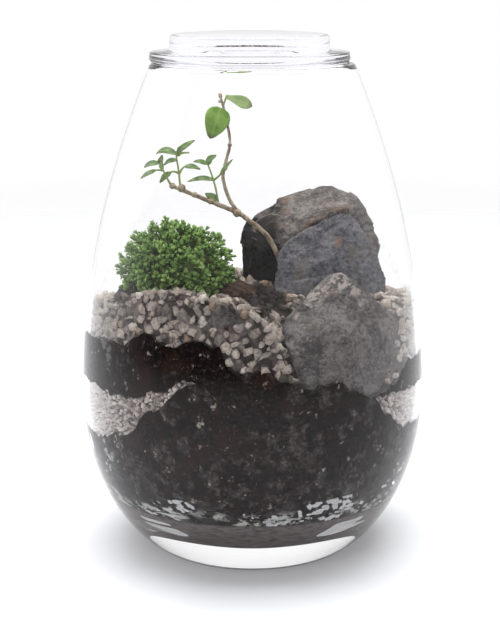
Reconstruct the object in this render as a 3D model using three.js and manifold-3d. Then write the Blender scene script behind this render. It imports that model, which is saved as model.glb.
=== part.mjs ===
// A glass plant terrarium: an egg-shaped jar with a thick base and a flat lid, layered soil and gravel,
// three rocks, a low cushion plant and a bonsai-like twig with a few leafy shoots.
// Sizes are in millimetres, +Z is up, and the origin is the middle of the jar's foot.
// The front, where the layers are seen best, faces -Y.

import * as THREE from 'three';
import { mergeVertices } from 'three/addons/utils/BufferGeometryUtils.js';
import { ConvexGeometry } from 'three/addons/geometries/ConvexGeometry.js';
import Module from 'manifold-3d';

const wasm = await Module();
wasm.setup();

// Driving dimensions

const GAP = 0.3; // clearance between a piece and what it touches
const jar = {
  height: 283.8,
  footRadius: 58.6,
  bellyRadius: 100.9,
  bellyHeight: 94.6,
  rimRadius: 58.1,
  lowerBulge: [2.15, 1.34], // powers of the curve from the foot to the belly
  shoulderPower: 1.87, // power of the curve from the belly to the rim
  wall: 3,
  lip: 0.9, // rounding of the rim's two edges
  floor: 22, // thickness of the solid glass base on the axis
  cornerHeight: 58, // where the bowl-shaped inner floor meets the wall
  cornerPower: 1.8,
  segments: 36,
};
const lid = {
  shift: -1.6, // the lid lies a little to the left on the rim
  arch: 4, // rise of its underside in the middle
  seatRadius: 50, // where the arch ends and the flat ring that rests on the rim begins
  flangeRadius: 57.2,
  flangeHeight: 6.4,
  discRadius: 45.4,
  top: 300,
  edge: 1.2,
};

// Heights of the layers where they meet the glass, as [azimuth, height] round the jar.
// Azimuth 0 is the front, 90 the right side and -90 the left side.
const layerEdges = {
  soilLower: [[-180, 84], [-120, 82], [-62, 78], [-45, 86], [-34, 102], [-19, 121], [-8, 128], [4, 129],
    [12, 121], [17, 117], [28, 120], [34, 113], [42, 107], [48, 96], [60, 84], [75, 83], [120, 84]],
  gravelBand: [[-180, 104], [-100, 106], [-45, 107], [-33, 113], [-20, 123], [-10, 118], [10, 105],
    [30, 100], [48, 108], [60, 105], [80, 104], [130, 104]],
  soilUpper: [[-180, 118], [-125, 120], [-90, 128], [-73, 133], [-49, 136], [-38, 144], [-27, 138],
    [-20, 144], [-11, 141], [-7, 129], [10, 116], [30, 104], [45, 108], [52, 112], [62, 121], [85, 122],
    [130, 118]],
  gravelTop: [[-180, 138], [-125, 138], [-105, 142], [-88, 148], [-67, 155], [-56, 159], [-44, 165],
    [-30, 168], [-16, 166], [0, 161], [5, 152], [9, 140], [13, 120], [20, 106], [44, 100], [54, 120],
    [60, 146], [70, 155], [85, 152], [105, 146], [130, 140]],
};
// Heights of the same layers in the middle of the jar.
const layerMiddles = { soilLower: 104, gravelBand: 112, soilUpper: 140, gravelTop: 157 };
const layerMiddleReach = 0.35; // share of the radius that keeps the middle height
const fieldRadius = 106;
const fieldRings = [98, 88, 70, 40];
const fieldSegments = 32;

const looseStones = { count: 80, smallest: 3, largest: 5.2, sink: 0.25, reach: [0.3, 0.88], seed: 41 };
const cushion = {
  centre: [-42, -35, 168],
  radii: [33, 27, 32],
  leaflets: 260,
  leafletLength: 8.5,
  leafletWidth: 5.6,
  leafletThickness: 1.5,
  standOut: 0.55, // share of a leaflet that stands out of the core
  lengthSpread: [0.85, 1.2],
  lowestRise: -0.62, // how far down the core the leaflets reach, where -1 is its lowest point
  lean: 0.9,
  turnSpread: 0.3,
  seed: 7,
};
const rootBall = { centre: [-33, -33, 157], radii: [38, 27, 11] };

// Rocks, as the corners of their rough convex blocks.
const rockCorners = {
  rock_back: [[-11, 14, 186], [-2, 2, 181], [12, 0, 181], [7, 8, 187], [55, 8, 199], [1, 32, 192],
    [17, 39, 201], [24, 43, 206], [36, 43, 207.5], [52, 43, 209.5], [60, 38, 209], [72, 28, 196],
    [78, 22, 187], [77, 16, 177], [74, 12, 166], [70, 8, 136], [-6, 14, 157], [-4, 12, 136],
    [10, 2, 136], [62, 4, 136], [24, 48, 136], [54, 50, 136], [74, 34, 140]],
  rock_middle: [[15, -12, 180], [20, -10, 183.5], [29, -8, 188.5], [41, -6, 195], [54, -4, 201],
    [59, -6, 197], [65, -8, 188], [71, -10, 176], [77, -14, 165], [78, -18, 150], [12, -24, 161],
    [15, -31, 146], [17, -33, 136], [76, -26, 132], [60, -33, 134], [20, 10, 140], [70, 10, 136],
    [22, 4, 176], [60, 6, 186], [46, -22, 176]],
  rock_front: [[14, -52, 142], [14, -66, 142], [18, -79, 137], [24, -87, 127], [27, -90, 114],
    [35, -88, 114], [49, -80, 112], [64, -70, 103], [74, -60, 103], [81, -50, 112], [80, -46, 148],
    [67, -48, 158], [58, -51, 165], [53, -47, 172], [48, -44, 174], [42, -44, 172], [33, -50, 165],
    [40, -82, 142], [56, -73, 142], [70, -60, 139], [20, -30, 136], [45, -26, 160], [72, -26, 132],
    [26, -34, 104], [72, -32, 100]],
};
const darkStoneCorners = [[-77, -47, 158], [-75, -54, 158], [-66, -57, 157], [-55, -54, 158], [-52, -46, 160],
  [-57, -38, 162], [-68, -36, 162], [-65, -42, 169], [-58, -46, 168.5], [-73, -45, 165], [-66, -52, 165]];
const frontStoneCorners = [[-26, -90, 155], [-23, -94, 150], [-8, -97, 150], [-3, -96, 155], [-5, -92, 160],
  [-12, -90, 163], [-22, -88, 162], [-24, -80, 156], [-8, -80, 158], [-14, -78, 152]];

// The twig's routes and the shoots on it, as points along their middle lines.
const twigParts = [
  { points: [[18, 3, 152], [16, 2, 168], [9, -1, 183.5], [-3, -4, 194.5], [-9.5, -6, 199], [-22.5, -9, 205],
    [-36, -12, 211], [-46, -14, 215.5]], from: 1.9, to: 1.4, sides: 7 },
  { points: [[-8, -6, 198.5], [-13.5, -6, 207], [-17, -4, 219], [-15, -2, 229], [-13, 0, 238],
    [-14.5, 1, 249], [-17, 2, 259.5], [-18.5, 3, 264.5]], from: 1.4, to: 0.8, sides: 6 },
];
// Swellings of the twig, as [x, y, z, radius].
const twigKnots = [[-9, -6, 198.6, 2.6], [-40.5, -13, 214, 2.4], [-45.5, -14, 215.4, 1.9],
  [-18.5, 3, 264.5, 1.2]];

const shoots = {
  shoot_left: {
    stems: [[[-41, -13, 213.5], [-42, -12, 223.5], [-43, -11, 230], [-43.5, -10, 234]],
      [[-41.8, -12, 222], [-39.5, -11.4, 225.5], [-37, -11, 226.5]],
      [[-42, -12, 222.5], [-45, -12, 223.4], [-48, -12, 222.4]],
      [[-43.3, -10.5, 233], [-38.5, -10, 233.8], [-36, -10, 233.8]]],
    leaves: [
      { from: [-43, -10.5, 234], to: [-32.5, -11, 241], width: 4.4, facing: [0, -1, 0.9], arch: 1 },
      { from: [-43, -10.5, 233], to: [-55, -9, 233], width: 5.6, facing: [0.2, -1, 1], arch: 3.6 },
      { from: [-42.6, -11.5, 230], to: [-50.5, -13, 227], width: 4, facing: [0, -1, 1.2], arch: 1.6 },
      { from: [-38.5, -11.4, 226.2], to: [-29.5, -12, 224.6], width: 4.2, facing: [0.1, -1, 1], arch: 1.2 },
      { from: [-46.5, -12, 223], to: [-52.8, -13, 217], width: 4.8, facing: [-0.4, -1, 0.8], arch: 0.8 },
      { from: [-42.8, -10, 232], to: [-42, -1.5, 236], width: 4.4, facing: [0.8, 0, 1], arch: 1.2 },
    ],
  },
  shoot_tip: {
    stems: [[[-45.4, -14, 214], [-48.5, -16, 220.5], [-50.5, -17, 225], [-53, -18, 230.4]],
      [[-50.3, -17, 224.6], [-54, -17.6, 225], [-57, -18, 224]]],
    leaves: [
      { from: [-52.6, -17.6, 229], to: [-61, -18.5, 226.5], width: 4.6, facing: [0, -1, 1], arch: 1.8 },
      { from: [-54.5, -17.6, 225], to: [-63, -19, 220.3], width: 3.6, facing: [-0.2, -1, 1], arch: 0.8 },
      { from: [-52.6, -18, 229.5], to: [-50.5, -20, 234], width: 3.6, facing: [0.4, -1, 0.2], arch: 0.6 },
      { from: [-50.6, -17, 225.4], to: [-51.5, -9.5, 229], width: 4, facing: [-0.8, 0.2, 1], arch: 1 },
    ],
  },
  shoot_middle: {
    stems: [[[-19.4, -8, 203], [-21, -8, 212.5], [-22.5, -7, 218], [-24, -7, 222.5], [-26, -7, 228]],
      [[-22.4, -7, 217.6], [-19, -8, 220.5], [-17.6, -8.6, 223]]],
    leaves: [
      { from: [-25.4, -7, 227], to: [-33.8, -8.5, 228.6], width: 4.2, facing: [0, -1, 1.2], arch: 0.8 },
      { from: [-26.4, -7, 227], to: [-20.6, -9, 232.4], width: 5.2, facing: [-0.4, -1, 0.8], arch: 1 },
      { from: [-21.8, -7, 217.8], to: [-37.3, -8.5, 217], width: 4.2, facing: [0, -1, 1.1], arch: 2.2 },
      { from: [-18.6, -8.2, 220.8], to: [-11.2, -9.4, 230], width: 3.2, facing: [-0.9, -1, 0.5], arch: 0.6 },
      { from: [-20.4, -8, 206.4], to: [-27.3, -9.6, 210.4], width: 5.4, facing: [0.2, -1, 0.3], arch: 0.6 },
      { from: [-25.6, -7, 226.6], to: [-25, 0.5, 229.5], width: 4.4, facing: [0.4, 0, 1], arch: 1 },
    ],
  },
  shoot_top: {
    stems: [[[-16.9, 2, 257], [-19, 0.6, 257.4], [-20.4, 0, 256.6]]],
    leaves: [
      { from: [-18.2, 0.6, 258.2], to: [-24.4, -1.6, 240.8], width: 14.6, facing: [0.15, -1, 0.1],
        arch: 1.4 },
    ],
  },
  shoot_crown: {
    stems: [[[-16.9, 2, 259], [-15.6, 1.8, 262.6], [-14.6, 1.6, 265]]],
    leaves: [
      { from: [-15.4, 1.8, 264.6], to: [-0.4, 0.5, 258.6], width: 7.8, facing: [0.1, -1, 0.5], arch: 1.6 },
    ],
  },
};
const leafThickness = 0.75;
const stemRadius = [0.75, 0.5];

// Materials

function material(color, roughness, extra = {}) {
  return new THREE.MeshStandardMaterial({ color, roughness, metalness: 0, ...extra });
}
const materials = {
  glass: material(0xeaf0f2, 0.03, { transparent: true, opacity: 0.3 }),
  darkSoil: material(0x2b211c, 0.95),
  paleGravel: material(0xd9d2c6, 0.9),
  greyGravel: material(0xa09a96, 0.9),
  greyRock: material(0x6f6d6d, 0.85),
  blueRock: material(0x676b70, 0.8),
  darkRock: material(0x3b3734, 0.9),
  roots: material(0x3a2a20, 0.95),
  cushionGreen: material(0x4c8a2c, 0.7),
  bark: material(0x8a6a4c, 0.85),
  leafGreen: material(0x6f9c45, 0.6),
};

// Helpers: meshes to solids and back

function randomFrom(seed) {
  let state = seed;
  return () => {
    state = (state + 0x6d2b79f5) | 0;
    let t = Math.imul(state ^ (state >>> 15), 1 | state);
    t = (t + Math.imul(t ^ (t >>> 7), 61 | t)) ^ t;
    return ((t ^ (t >>> 14)) >>> 0) / 4294967296;
  };
}

// Turns a closed geometry into a solid, with its faces pointing out.
function solid(geometry) {
  const source = geometry.clone();
  source.deleteAttribute('normal');
  source.deleteAttribute('uv');
  const merged = mergeVertices(source, 1e-4);
  const vertProperties = Float32Array.from(merged.attributes.position.array);
  const index = merged.index.array;
  const triangles = [];
  let volume = 0;
  const corner = [new THREE.Vector3(), new THREE.Vector3(), new THREE.Vector3()];
  for (let i = 0; i < index.length; i += 3) {
    const [a, b, c] = [index[i], index[i + 1], index[i + 2]];
    if (a === b || b === c || c === a) {
      continue;
    }
    triangles.push(a, b, c);
    [a, b, c].forEach((vertex, k) => corner[k].fromArray(vertProperties, 3 * vertex));
    volume += corner[0].dot(corner[1].cross(corner[2]));
  }
  if (volume < 0) {
    for (let i = 0; i < triangles.length; i += 3) {
      [triangles[i], triangles[i + 1]] = [triangles[i + 1], triangles[i]];
    }
  }
  const triVerts = Uint32Array.from(triangles);
  return new wasm.Manifold(new wasm.Mesh({ numProp: 3, vertProperties, triVerts }));
}

function fuse(solids) {
  return solids.reduce((whole, next) => whole.add(next));
}

// Keeps the largest body of a cut solid, so that no loose scrap is left.
function largestBody(cut) {
  const bodies = cut.decompose();
  return bodies.reduce((best, next) => (next.volume() > best.volume() ? next : best));
}

function toGeometry(body) {
  const mesh = body.getMesh();
  const geometry = new THREE.BufferGeometry();
  geometry.setAttribute('position', new THREE.BufferAttribute(Float32Array.from(mesh.vertProperties), 3));
  geometry.setIndex(new THREE.BufferAttribute(Uint32Array.from(mesh.triVerts), 1));
  geometry.computeVertexNormals();
  return geometry;
}

function mixed(a, b, t) {
  return a + (b - a) * t;
}

function smoothstep(low, high, x) {
  const t = Math.min(1, Math.max(0, (x - low) / (high - low)));
  return t * t * (3 - 2 * t);
}

// Shapes shared by several pieces

function lathe(profile, segments) {
  const geometry = new THREE.LatheGeometry(profile.map(([r, z]) => new THREE.Vector2(r, z)), segments);
  return geometry.rotateX(Math.PI / 2);
}

// A round limb along a smooth curve, thinner towards its tip, closed at both ends.
function limb(points, baseRadius, tipRadius, sides, steps) {
  const curve = new THREE.CatmullRomCurve3(points.map((point) => new THREE.Vector3(...point)));
  const frames = curve.computeFrenetFrames(steps);
  const positions = [];
  const index = [];
  for (let i = 0; i <= steps; i += 1) {
    const centre = curve.getPointAt(i / steps);
    const radius = mixed(baseRadius, tipRadius, i / steps);
    for (let k = 0; k < sides; k += 1) {
      const angle = (2 * Math.PI * k) / sides;
      const out = frames.normals[i].clone().multiplyScalar(Math.cos(angle));
      out.addScaledVector(frames.binormals[i], Math.sin(angle));
      positions.push(...centre.clone().addScaledVector(out, radius).toArray());
      if (i < steps) {
        const [a, b] = [i * sides + k, i * sides + ((k + 1) % sides)];
        index.push(a, b, a + sides, b, b + sides, a + sides);
      }
    }
  }
  for (let k = 1; k < sides - 1; k += 1) {
    const last = steps * sides;
    index.push(0, k + 1, k, last, last + k, last + k + 1);
  }
  const geometry = new THREE.BufferGeometry();
  geometry.setAttribute('position', new THREE.Float32BufferAttribute(positions, 3));
  geometry.setIndex(index);
  return geometry;
}

// A ball squashed to three radii, with few faces.
function lump(centre, radii, detail = 1) {
  const geometry = new THREE.IcosahedronGeometry(1, detail);
  return geometry.scale(...radii).translate(...centre);
}

// A leaf blade from its base to its tip: broadest before the middle, folded along its rib and arched.
function blade({ from, to, width, facing, arch }) {
  const start = new THREE.Vector3(...from);
  const along = new THREE.Vector3(...to).sub(start);
  const length = along.length();
  along.normalize();
  const across = new THREE.Vector3().crossVectors(new THREE.Vector3(...facing), along).normalize();
  const out = new THREE.Vector3().crossVectors(along, across);
  const geometry = new THREE.BoxGeometry(1, 1, 1, 4, 2, 1);
  const position = geometry.attributes.position;
  for (let i = 0; i < position.count; i += 1) {
    const t = position.getX(i) + 0.5;
    const side = 2 * position.getY(i);
    const half = 0.5 * width * (0.16 + 0.84 * Math.sin(Math.PI * Math.min(1, 0.06 + 0.94 * t ** 0.8)) ** 0.8);
    const lift = arch * Math.sin(Math.PI * t) + 0.12 * half * Math.abs(side);
    const point = start.clone().addScaledVector(along, t * length).addScaledVector(across, side * half);
    point.addScaledVector(out, lift + leafThickness * position.getZ(i));
    position.setXYZ(i, point.x, point.y, point.z);
  }
  return geometry;
}

// The jar

function outerRadius(z) {
  if (z < jar.bellyHeight) {
    const [risePower, bulgePower] = jar.lowerBulge;
    const share = (1 - (1 - z / jar.bellyHeight) ** risePower) ** (1 / bulgePower);
    return mixed(jar.footRadius, jar.bellyRadius, share);
  }
  const share = ((z - jar.bellyHeight) / (jar.height - jar.bellyHeight)) ** jar.shoulderPower;
  return mixed(jar.bellyRadius, jar.rimRadius, share);
}

// The inside of the jar from the middle of its floor up to a height, smaller all round by a clearance.
function cavityProfile(clearance, top) {
  const cornerRadius = outerRadius(jar.cornerHeight) - jar.wall;
  const profile = [];
  const floorSteps = 6;
  for (let i = 0; i <= floorSteps; i += 1) {
    const angle = (i / floorSteps) * (Math.PI / 2);
    const r = cornerRadius * Math.sin(angle) ** (2 / jar.cornerPower);
    const rise = 1 - Math.cos(angle) ** (2 / jar.cornerPower);
    const z = mixed(jar.floor, jar.cornerHeight, rise) + clearance * Math.cos(angle);
    profile.push([Math.max(0, r - clearance * Math.sin(angle)), z]);
  }
  const wallSteps = 7;
  for (let i = 1; i <= wallSteps; i += 1) {
    const z = mixed(jar.cornerHeight, top, i / wallSteps);
    profile.push([outerRadius(z) - jar.wall - clearance, z]);
  }
  return profile;
}

function jarProfile() {
  const profile = [[0, 0], [jar.footRadius, 0]];
  const lowerSteps = 6;
  for (let i = 1; i <= lowerSteps; i += 1) {
    const z = jar.bellyHeight * (i / lowerSteps) ** 1.7;
    profile.push([outerRadius(z), z]);
  }
  const upperSteps = 7;
  for (let i = 1; i < upperSteps; i += 1) {
    const z = mixed(jar.bellyHeight, jar.height, i / upperSteps);
    profile.push([outerRadius(z), z]);
  }
  const lipBottom = jar.height - jar.lip;
  profile.push([jar.rimRadius, lipBottom], [jar.rimRadius - jar.lip, jar.height]);
  profile.push([jar.rimRadius - jar.wall + jar.lip, jar.height]);
  return profile.concat(cavityProfile(0, lipBottom).reverse());
}

function lidProfile() {
  const seat = jar.height + GAP;
  const flangeTop = seat + lid.flangeHeight;
  return [
    [0, seat + lid.arch],
    [lid.seatRadius / 2, seat + 0.75 * lid.arch],
    [lid.seatRadius, seat],
    [lid.flangeRadius - lid.edge, seat],
    [lid.flangeRadius, seat + lid.edge],
    [lid.flangeRadius, flangeTop - lid.edge],
    [lid.flangeRadius - lid.edge, flangeTop],
    [lid.discRadius + lid.edge, flangeTop],
    [lid.discRadius, flangeTop + lid.edge],
    [lid.discRadius, lid.top - lid.edge],
    [lid.discRadius - lid.edge, lid.top],
    [0, lid.top],
  ];
}

// The layers of soil and gravel

function edgeHeight(edge, azimuth) {
  const next = edge.findIndex(([angle]) => angle > azimuth);
  const high = next === -1 ? [edge[0][0] + 360, edge[0][1]] : edge[next];
  const low = next === -1 ? edge[edge.length - 1] : edge[next - 1];
  return mixed(low[1], high[1], smoothstep(low[0], high[0], azimuth));
}

function layerHeight(name, x, y) {
  const azimuth = THREE.MathUtils.radToDeg(Math.atan2(x, -y));
  const share = smoothstep(layerMiddleReach, 1, Math.hypot(x, y) / (jar.bellyRadius - jar.wall));
  const wall = edgeHeight(layerEdges[name], Math.min(179.9, Math.max(-180, azimuth)));
  return mixed(layerMiddles[name], wall, share);
}

// Everything under the highest of the named layers' tops, raised by a clearance.
function groundUnder(names, raise) {
  const bottom = 4;
  const flatTop = 60;
  const profile = [[0, bottom], [fieldRadius, bottom], [fieldRadius, flatTop]];
  fieldRings.forEach((r) => profile.push([r, flatTop]));
  profile.push([0, flatTop]);
  const geometry = lathe(profile, fieldSegments);
  const position = geometry.attributes.position;
  for (let i = 0; i < position.count; i += 1) {
    if (position.getZ(i) > bottom + 1) {
      const [x, y] = [position.getX(i), position.getY(i)];
      position.setZ(i, raise + Math.max(...names.map((name) => layerHeight(name, x, y))));
    }
  }
  return solid(geometry);
}

// Loose stones on the top gravel, sunk a little into it.
function topStones() {
  const random = randomFrom(looseStones.seed);
  const stones = [];
  for (let i = 0; i < looseStones.count; i += 1) {
    const azimuth = random() * 2 * Math.PI;
    const [near, far] = looseStones.reach;
    const reach = jar.bellyRadius * Math.sqrt(mixed(near * near, far * far, random()));
    const size = mixed(looseStones.smallest, looseStones.largest, random());
    const [x, y] = [reach * Math.sin(azimuth), -reach * Math.cos(azimuth)];
    const stone = new THREE.IcosahedronGeometry(1, 0).scale(size, size * 0.8, size * 0.65);
    stone.rotateX(random() * Math.PI).rotateY(random() * Math.PI).rotateZ(random() * Math.PI);
    const surface = Math.max(layerHeight('gravelTop', x, y), layerHeight('soilUpper', x, y));
    stones.push(solid(stone.translate(x, y, surface + size * looseStones.sink)));
  }
  return fuse(stones);
}

// Rocks and stones, each also in a slightly larger copy that clears room for it.

function hull(corners) {
  return solid(new ConvexGeometry(corners.map((corner) => new THREE.Vector3(...corner))));
}

function swollenHull(corners) {
  const middle = corners.reduce((sum, corner) => sum.add(new THREE.Vector3(...corner)), new THREE.Vector3());
  middle.divideScalar(corners.length);
  const grown = corners.map((corner) => {
    const out = new THREE.Vector3(...corner).sub(middle);
    return out.addScaledVector(out.clone().normalize(), 2 * GAP).add(middle).toArray();
  });
  return hull(grown);
}

// The plants

function coreRadii() {
  return cushion.radii.map((r) => r - cushion.leafletLength * cushion.standOut);
}

// Fan-shaped leaflets, spread evenly over the core, each with its narrow root sunk in.
function leafletSolids() {
  const random = randomFrom(cushion.seed);
  const goldenAngle = Math.PI * (3 - Math.sqrt(5));
  const leaflets = [];
  for (let i = 0; i < cushion.leaflets; i += 1) {
    const rise = mixed(1, cushion.lowestRise, (i + 0.5) / cushion.leaflets);
    const turn = goldenAngle * i + cushion.turnSpread * random();
    const ring = Math.sqrt(1 - rise * rise);
    const direction = new THREE.Vector3(ring * Math.cos(turn), ring * Math.sin(turn), rise);
    const long = cushion.leafletLength * mixed(...cushion.lengthSpread, random());
    const fan = new THREE.ConeGeometry(cushion.leafletWidth / 2, long, 4);
    fan.rotateX(Math.PI).scale(1, 1, cushion.leafletThickness / cushion.leafletWidth);
    fan.rotateY(random() * Math.PI).translate(0, long * (cushion.standOut - 0.5), 0);
    const lean = new THREE.Vector3(random() - 0.5, random() - 0.5, random() * 0.5);
    const upright = direction.clone().addScaledVector(lean, cushion.lean).normalize();
    fan.applyQuaternion(new THREE.Quaternion().setFromUnitVectors(new THREE.Vector3(0, 1, 0), upright));
    const root = direction.multiply(new THREE.Vector3(...coreRadii()));
    root.add(new THREE.Vector3(...cushion.centre));
    leaflets.push(solid(fan.translate(...root.toArray())));
  }
  return leaflets;
}

function twigSolid(swell) {
  const limbs = twigParts.map(({ points, from, to, sides }) =>
    solid(limb(points, from + swell, to + swell, sides, Math.round(1.6 * points.length))));
  const knots = twigKnots.map(([x, y, z, r]) =>
    solid(lump([x, y, z], [r + swell, r + swell, r + swell], 0)));
  return fuse([...limbs, ...knots]);
}

function shootSolid({ stems, leaves }) {
  const stalks = stems.map((points) => solid(limb(points, ...stemRadius, 5, points.length + 1)));
  const blades = leaves.map((leaf) => solid(blade(leaf)));
  return fuse([...stalks, ...blades]);
}

// Putting the pieces together. A piece made later is cut back from the rooms of those before it.

const inside = solid(lathe([...cavityProfile(GAP, jar.height), [0, jar.height]], jar.segments));
const rooms = [];
const pieces = {};

// Keeps a body inside the jar and out of every room so far.
function fitted(body) {
  return largestBody(rooms.reduce((rest, room) => rest.subtract(room), body.intersect(inside)));
}

function add(name, body, look, room) {
  pieces[name] = [fitted(body), look];
  if (room) {
    rooms.push(room);
  }
}

// One layer: under its own top and over the layers below it.
function layer(name, below, loose) {
  let body = groundUnder([name], 0);
  if (loose) {
    body = body.add(loose);
  }
  return below.length > 0 ? body.subtract(groundUnder(below, GAP)) : body;
}

const twigRoom = twigSolid(GAP);
add('twig', twigSolid(0), materials.bark, twigRoom);
for (const [name, corners] of Object.entries(rockCorners)) {
  const look = name === 'rock_middle' ? materials.blueRock : materials.greyRock;
  add(name, hull(corners), look, swollenHull(corners));
}

const rootRoom = solid(lump(rootBall.centre, rootBall.radii.map((r) => r + 1.5 * GAP), 1));
add('root_ball', solid(lump(rootBall.centre, rootBall.radii, 1)), materials.roots, rootRoom);
add('stone_left', hull(darkStoneCorners), materials.darkRock, swollenHull(darkStoneCorners));

const allGround = groundUnder(Object.keys(layerEdges), GAP);
const foliage = fuse([solid(lump(cushion.centre, coreRadii(), 2)), ...leafletSolids()]);
add('cushion_plant', foliage.subtract(allGround), materials.cushionGreen);

add('stone_front', hull(frontStoneCorners), materials.darkRock, swollenHull(frontStoneCorners));
add('soil_lower', layer('soilLower', []), materials.darkSoil);
add('gravel_band', layer('gravelBand', ['soilLower']), materials.paleGravel);
add('soil_upper', layer('soilUpper', ['soilLower', 'gravelBand']), materials.darkSoil);

const plantRoom = solid(lump(cushion.centre, cushion.radii.map((r) => r + 10 * GAP), 1));
const stones = topStones().subtract(plantRoom);
add('gravel_top', layer('gravelTop', ['soilLower', 'gravelBand', 'soilUpper'], stones), materials.greyGravel);

for (const [name, shoot] of Object.entries(shoots)) {
  pieces[name] = [largestBody(shootSolid(shoot).subtract(twigRoom)), materials.leafGreen];
}

const terrarium = new THREE.Group();

function place(name, body, look, x = 0) {
  const mesh = new THREE.Mesh(toGeometry(body), look);
  mesh.name = name;
  mesh.position.set(x, 0, 0);
  terrarium.add(mesh);
}

place('glass_jar', solid(lathe(jarProfile(), jar.segments)), materials.glass);
place('glass_lid', solid(lathe(lidProfile(), jar.segments)), materials.glass, lid.shift);
for (const [name, [body, look]] of Object.entries(pieces)) {
  place(name, body, look);
}

export default terrarium;
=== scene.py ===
# The looks of a glass plant terrarium: a clear blown jar with a lid, layered soil and gravel, three slate
# rocks, a cushion plant on its root ball and a twig with leafy shoots.
# Shapes are worked out in millimetres, +Z up, with the origin in the middle of the jar's foot and the front
# facing -Y. Azimuth 0 is the front, 90 the right side and -90 the left side.

import itertools
import math
from types import SimpleNamespace

import bmesh
import bpy
import numpy as np
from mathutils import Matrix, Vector
from mathutils.bvhtree import BVHTree


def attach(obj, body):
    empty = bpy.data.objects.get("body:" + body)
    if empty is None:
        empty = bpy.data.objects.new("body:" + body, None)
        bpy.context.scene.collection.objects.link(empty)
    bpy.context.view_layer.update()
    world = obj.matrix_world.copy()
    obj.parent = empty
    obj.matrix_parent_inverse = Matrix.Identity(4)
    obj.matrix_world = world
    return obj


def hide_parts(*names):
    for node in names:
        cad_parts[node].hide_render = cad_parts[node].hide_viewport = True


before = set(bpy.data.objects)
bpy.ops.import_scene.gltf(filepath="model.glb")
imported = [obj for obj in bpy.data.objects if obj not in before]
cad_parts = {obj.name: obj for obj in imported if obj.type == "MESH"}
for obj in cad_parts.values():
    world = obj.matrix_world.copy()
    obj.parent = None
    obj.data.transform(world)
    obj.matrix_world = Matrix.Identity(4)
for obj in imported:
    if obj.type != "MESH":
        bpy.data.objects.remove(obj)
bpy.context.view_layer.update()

# Driving dimensions, the same as the model's own

MM = 0.001
GAP = 0.3
JAR = SimpleNamespace(
    height=283.8, foot_radius=58.6, belly_radius=100.9, belly_height=94.6, rim_radius=58.1,
    rise_power=2.15, bulge_power=1.34, shoulder_power=1.87, wall=3.0, lip=0.9, floor=22.0,
    corner_height=58.0, corner_power=1.8)
LID = SimpleNamespace(
    shift=-1.6, arch=4.0, seat_radius=50.0, flange_radius=57.2, flange_height=6.4, disc_radius=45.4,
    top=300.0)
LAYER_EDGES = {
    "soil_lower": [(-180, 84), (-120, 82), (-62, 78), (-45, 86), (-34, 102), (-19, 121), (-8, 128), (4, 129),
                   (12, 121), (17, 117), (28, 120), (34, 113), (42, 107), (48, 96), (60, 84), (75, 83),
                   (120, 84)],
    "gravel_band": [(-180, 104), (-100, 106), (-45, 107), (-33, 113), (-20, 123), (-10, 118), (10, 105),
                    (30, 100), (48, 108), (60, 105), (80, 104), (130, 104)],
    "soil_upper": [(-180, 118), (-125, 120), (-90, 128), (-73, 133), (-49, 136), (-38, 144), (-27, 138),
                   (-20, 144), (-11, 141), (-7, 129), (10, 116), (30, 104), (45, 108), (52, 112), (62, 121),
                   (85, 122), (130, 118)],
    "gravel_top": [(-180, 138), (-125, 138), (-105, 142), (-88, 148), (-67, 155), (-56, 159), (-44, 165),
                   (-30, 168), (-16, 166), (0, 161), (5, 152), (9, 140), (13, 120), (20, 106), (44, 100),
                   (54, 120), (60, 146), (70, 155), (85, 152), (105, 146), (130, 140)],
}
LAYER_MIDDLES = {"soil_lower": 104, "gravel_band": 112, "soil_upper": 140, "gravel_top": 157}
MIDDLE_REACH = 0.35
SOIL_CONTACT = 0.06  # how far soil reaches into the glass, so that no air is left between
STONE_CONTACT = 0.14  # the same for stones, which so show in front of soil
FACE_BOTTOM = 34.0  # height below which the lower soil lies smoothly on the bowl of the glass base
AROUND = 600  # points round each row of a layer

CUSHION = SimpleNamespace(centre=(-42, -35, 168), radii=(33, 27, 32))
TWIG_PARTS = [
    ([(18, 3, 152), (16, 2, 168), (9, -1, 183.5), (-3, -4, 194.5), (-9.5, -6, 199), (-22.5, -9, 205),
      (-36, -12, 211), (-46, -14, 215.5)], (1.9, 1.4)),
    ([(-8, -6, 198.5), (-13.5, -6, 207), (-17, -4, 219), (-15, -2, 229), (-13, 0, 238), (-14.5, 1, 249),
      (-17, 2, 259.5), (-18.5, 3, 264.5)], (1.4, 0.8)),
]
TWIG_KNOTS = [(-9, -6, 198.6, 2.6), (-40.5, -13, 214, 2.4), (-45.5, -14, 215.4, 1.9), (-18.5, 3, 264.5, 1.2)]
BUDS = [(-18.9, 2.6, 261.6, 1.0), (-18.6, 3, 265.3, 1.0), (-14.4, 1.6, 249, 1.2), (-13.1, 0, 237, 1.4),
        (-15.8, -3, 224, 1.6), (-24, -9.4, 205.8, 1.8), (-33, -11.2, 209.8, 1.7), (2, -2.4, 190, 1.9)]

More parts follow.
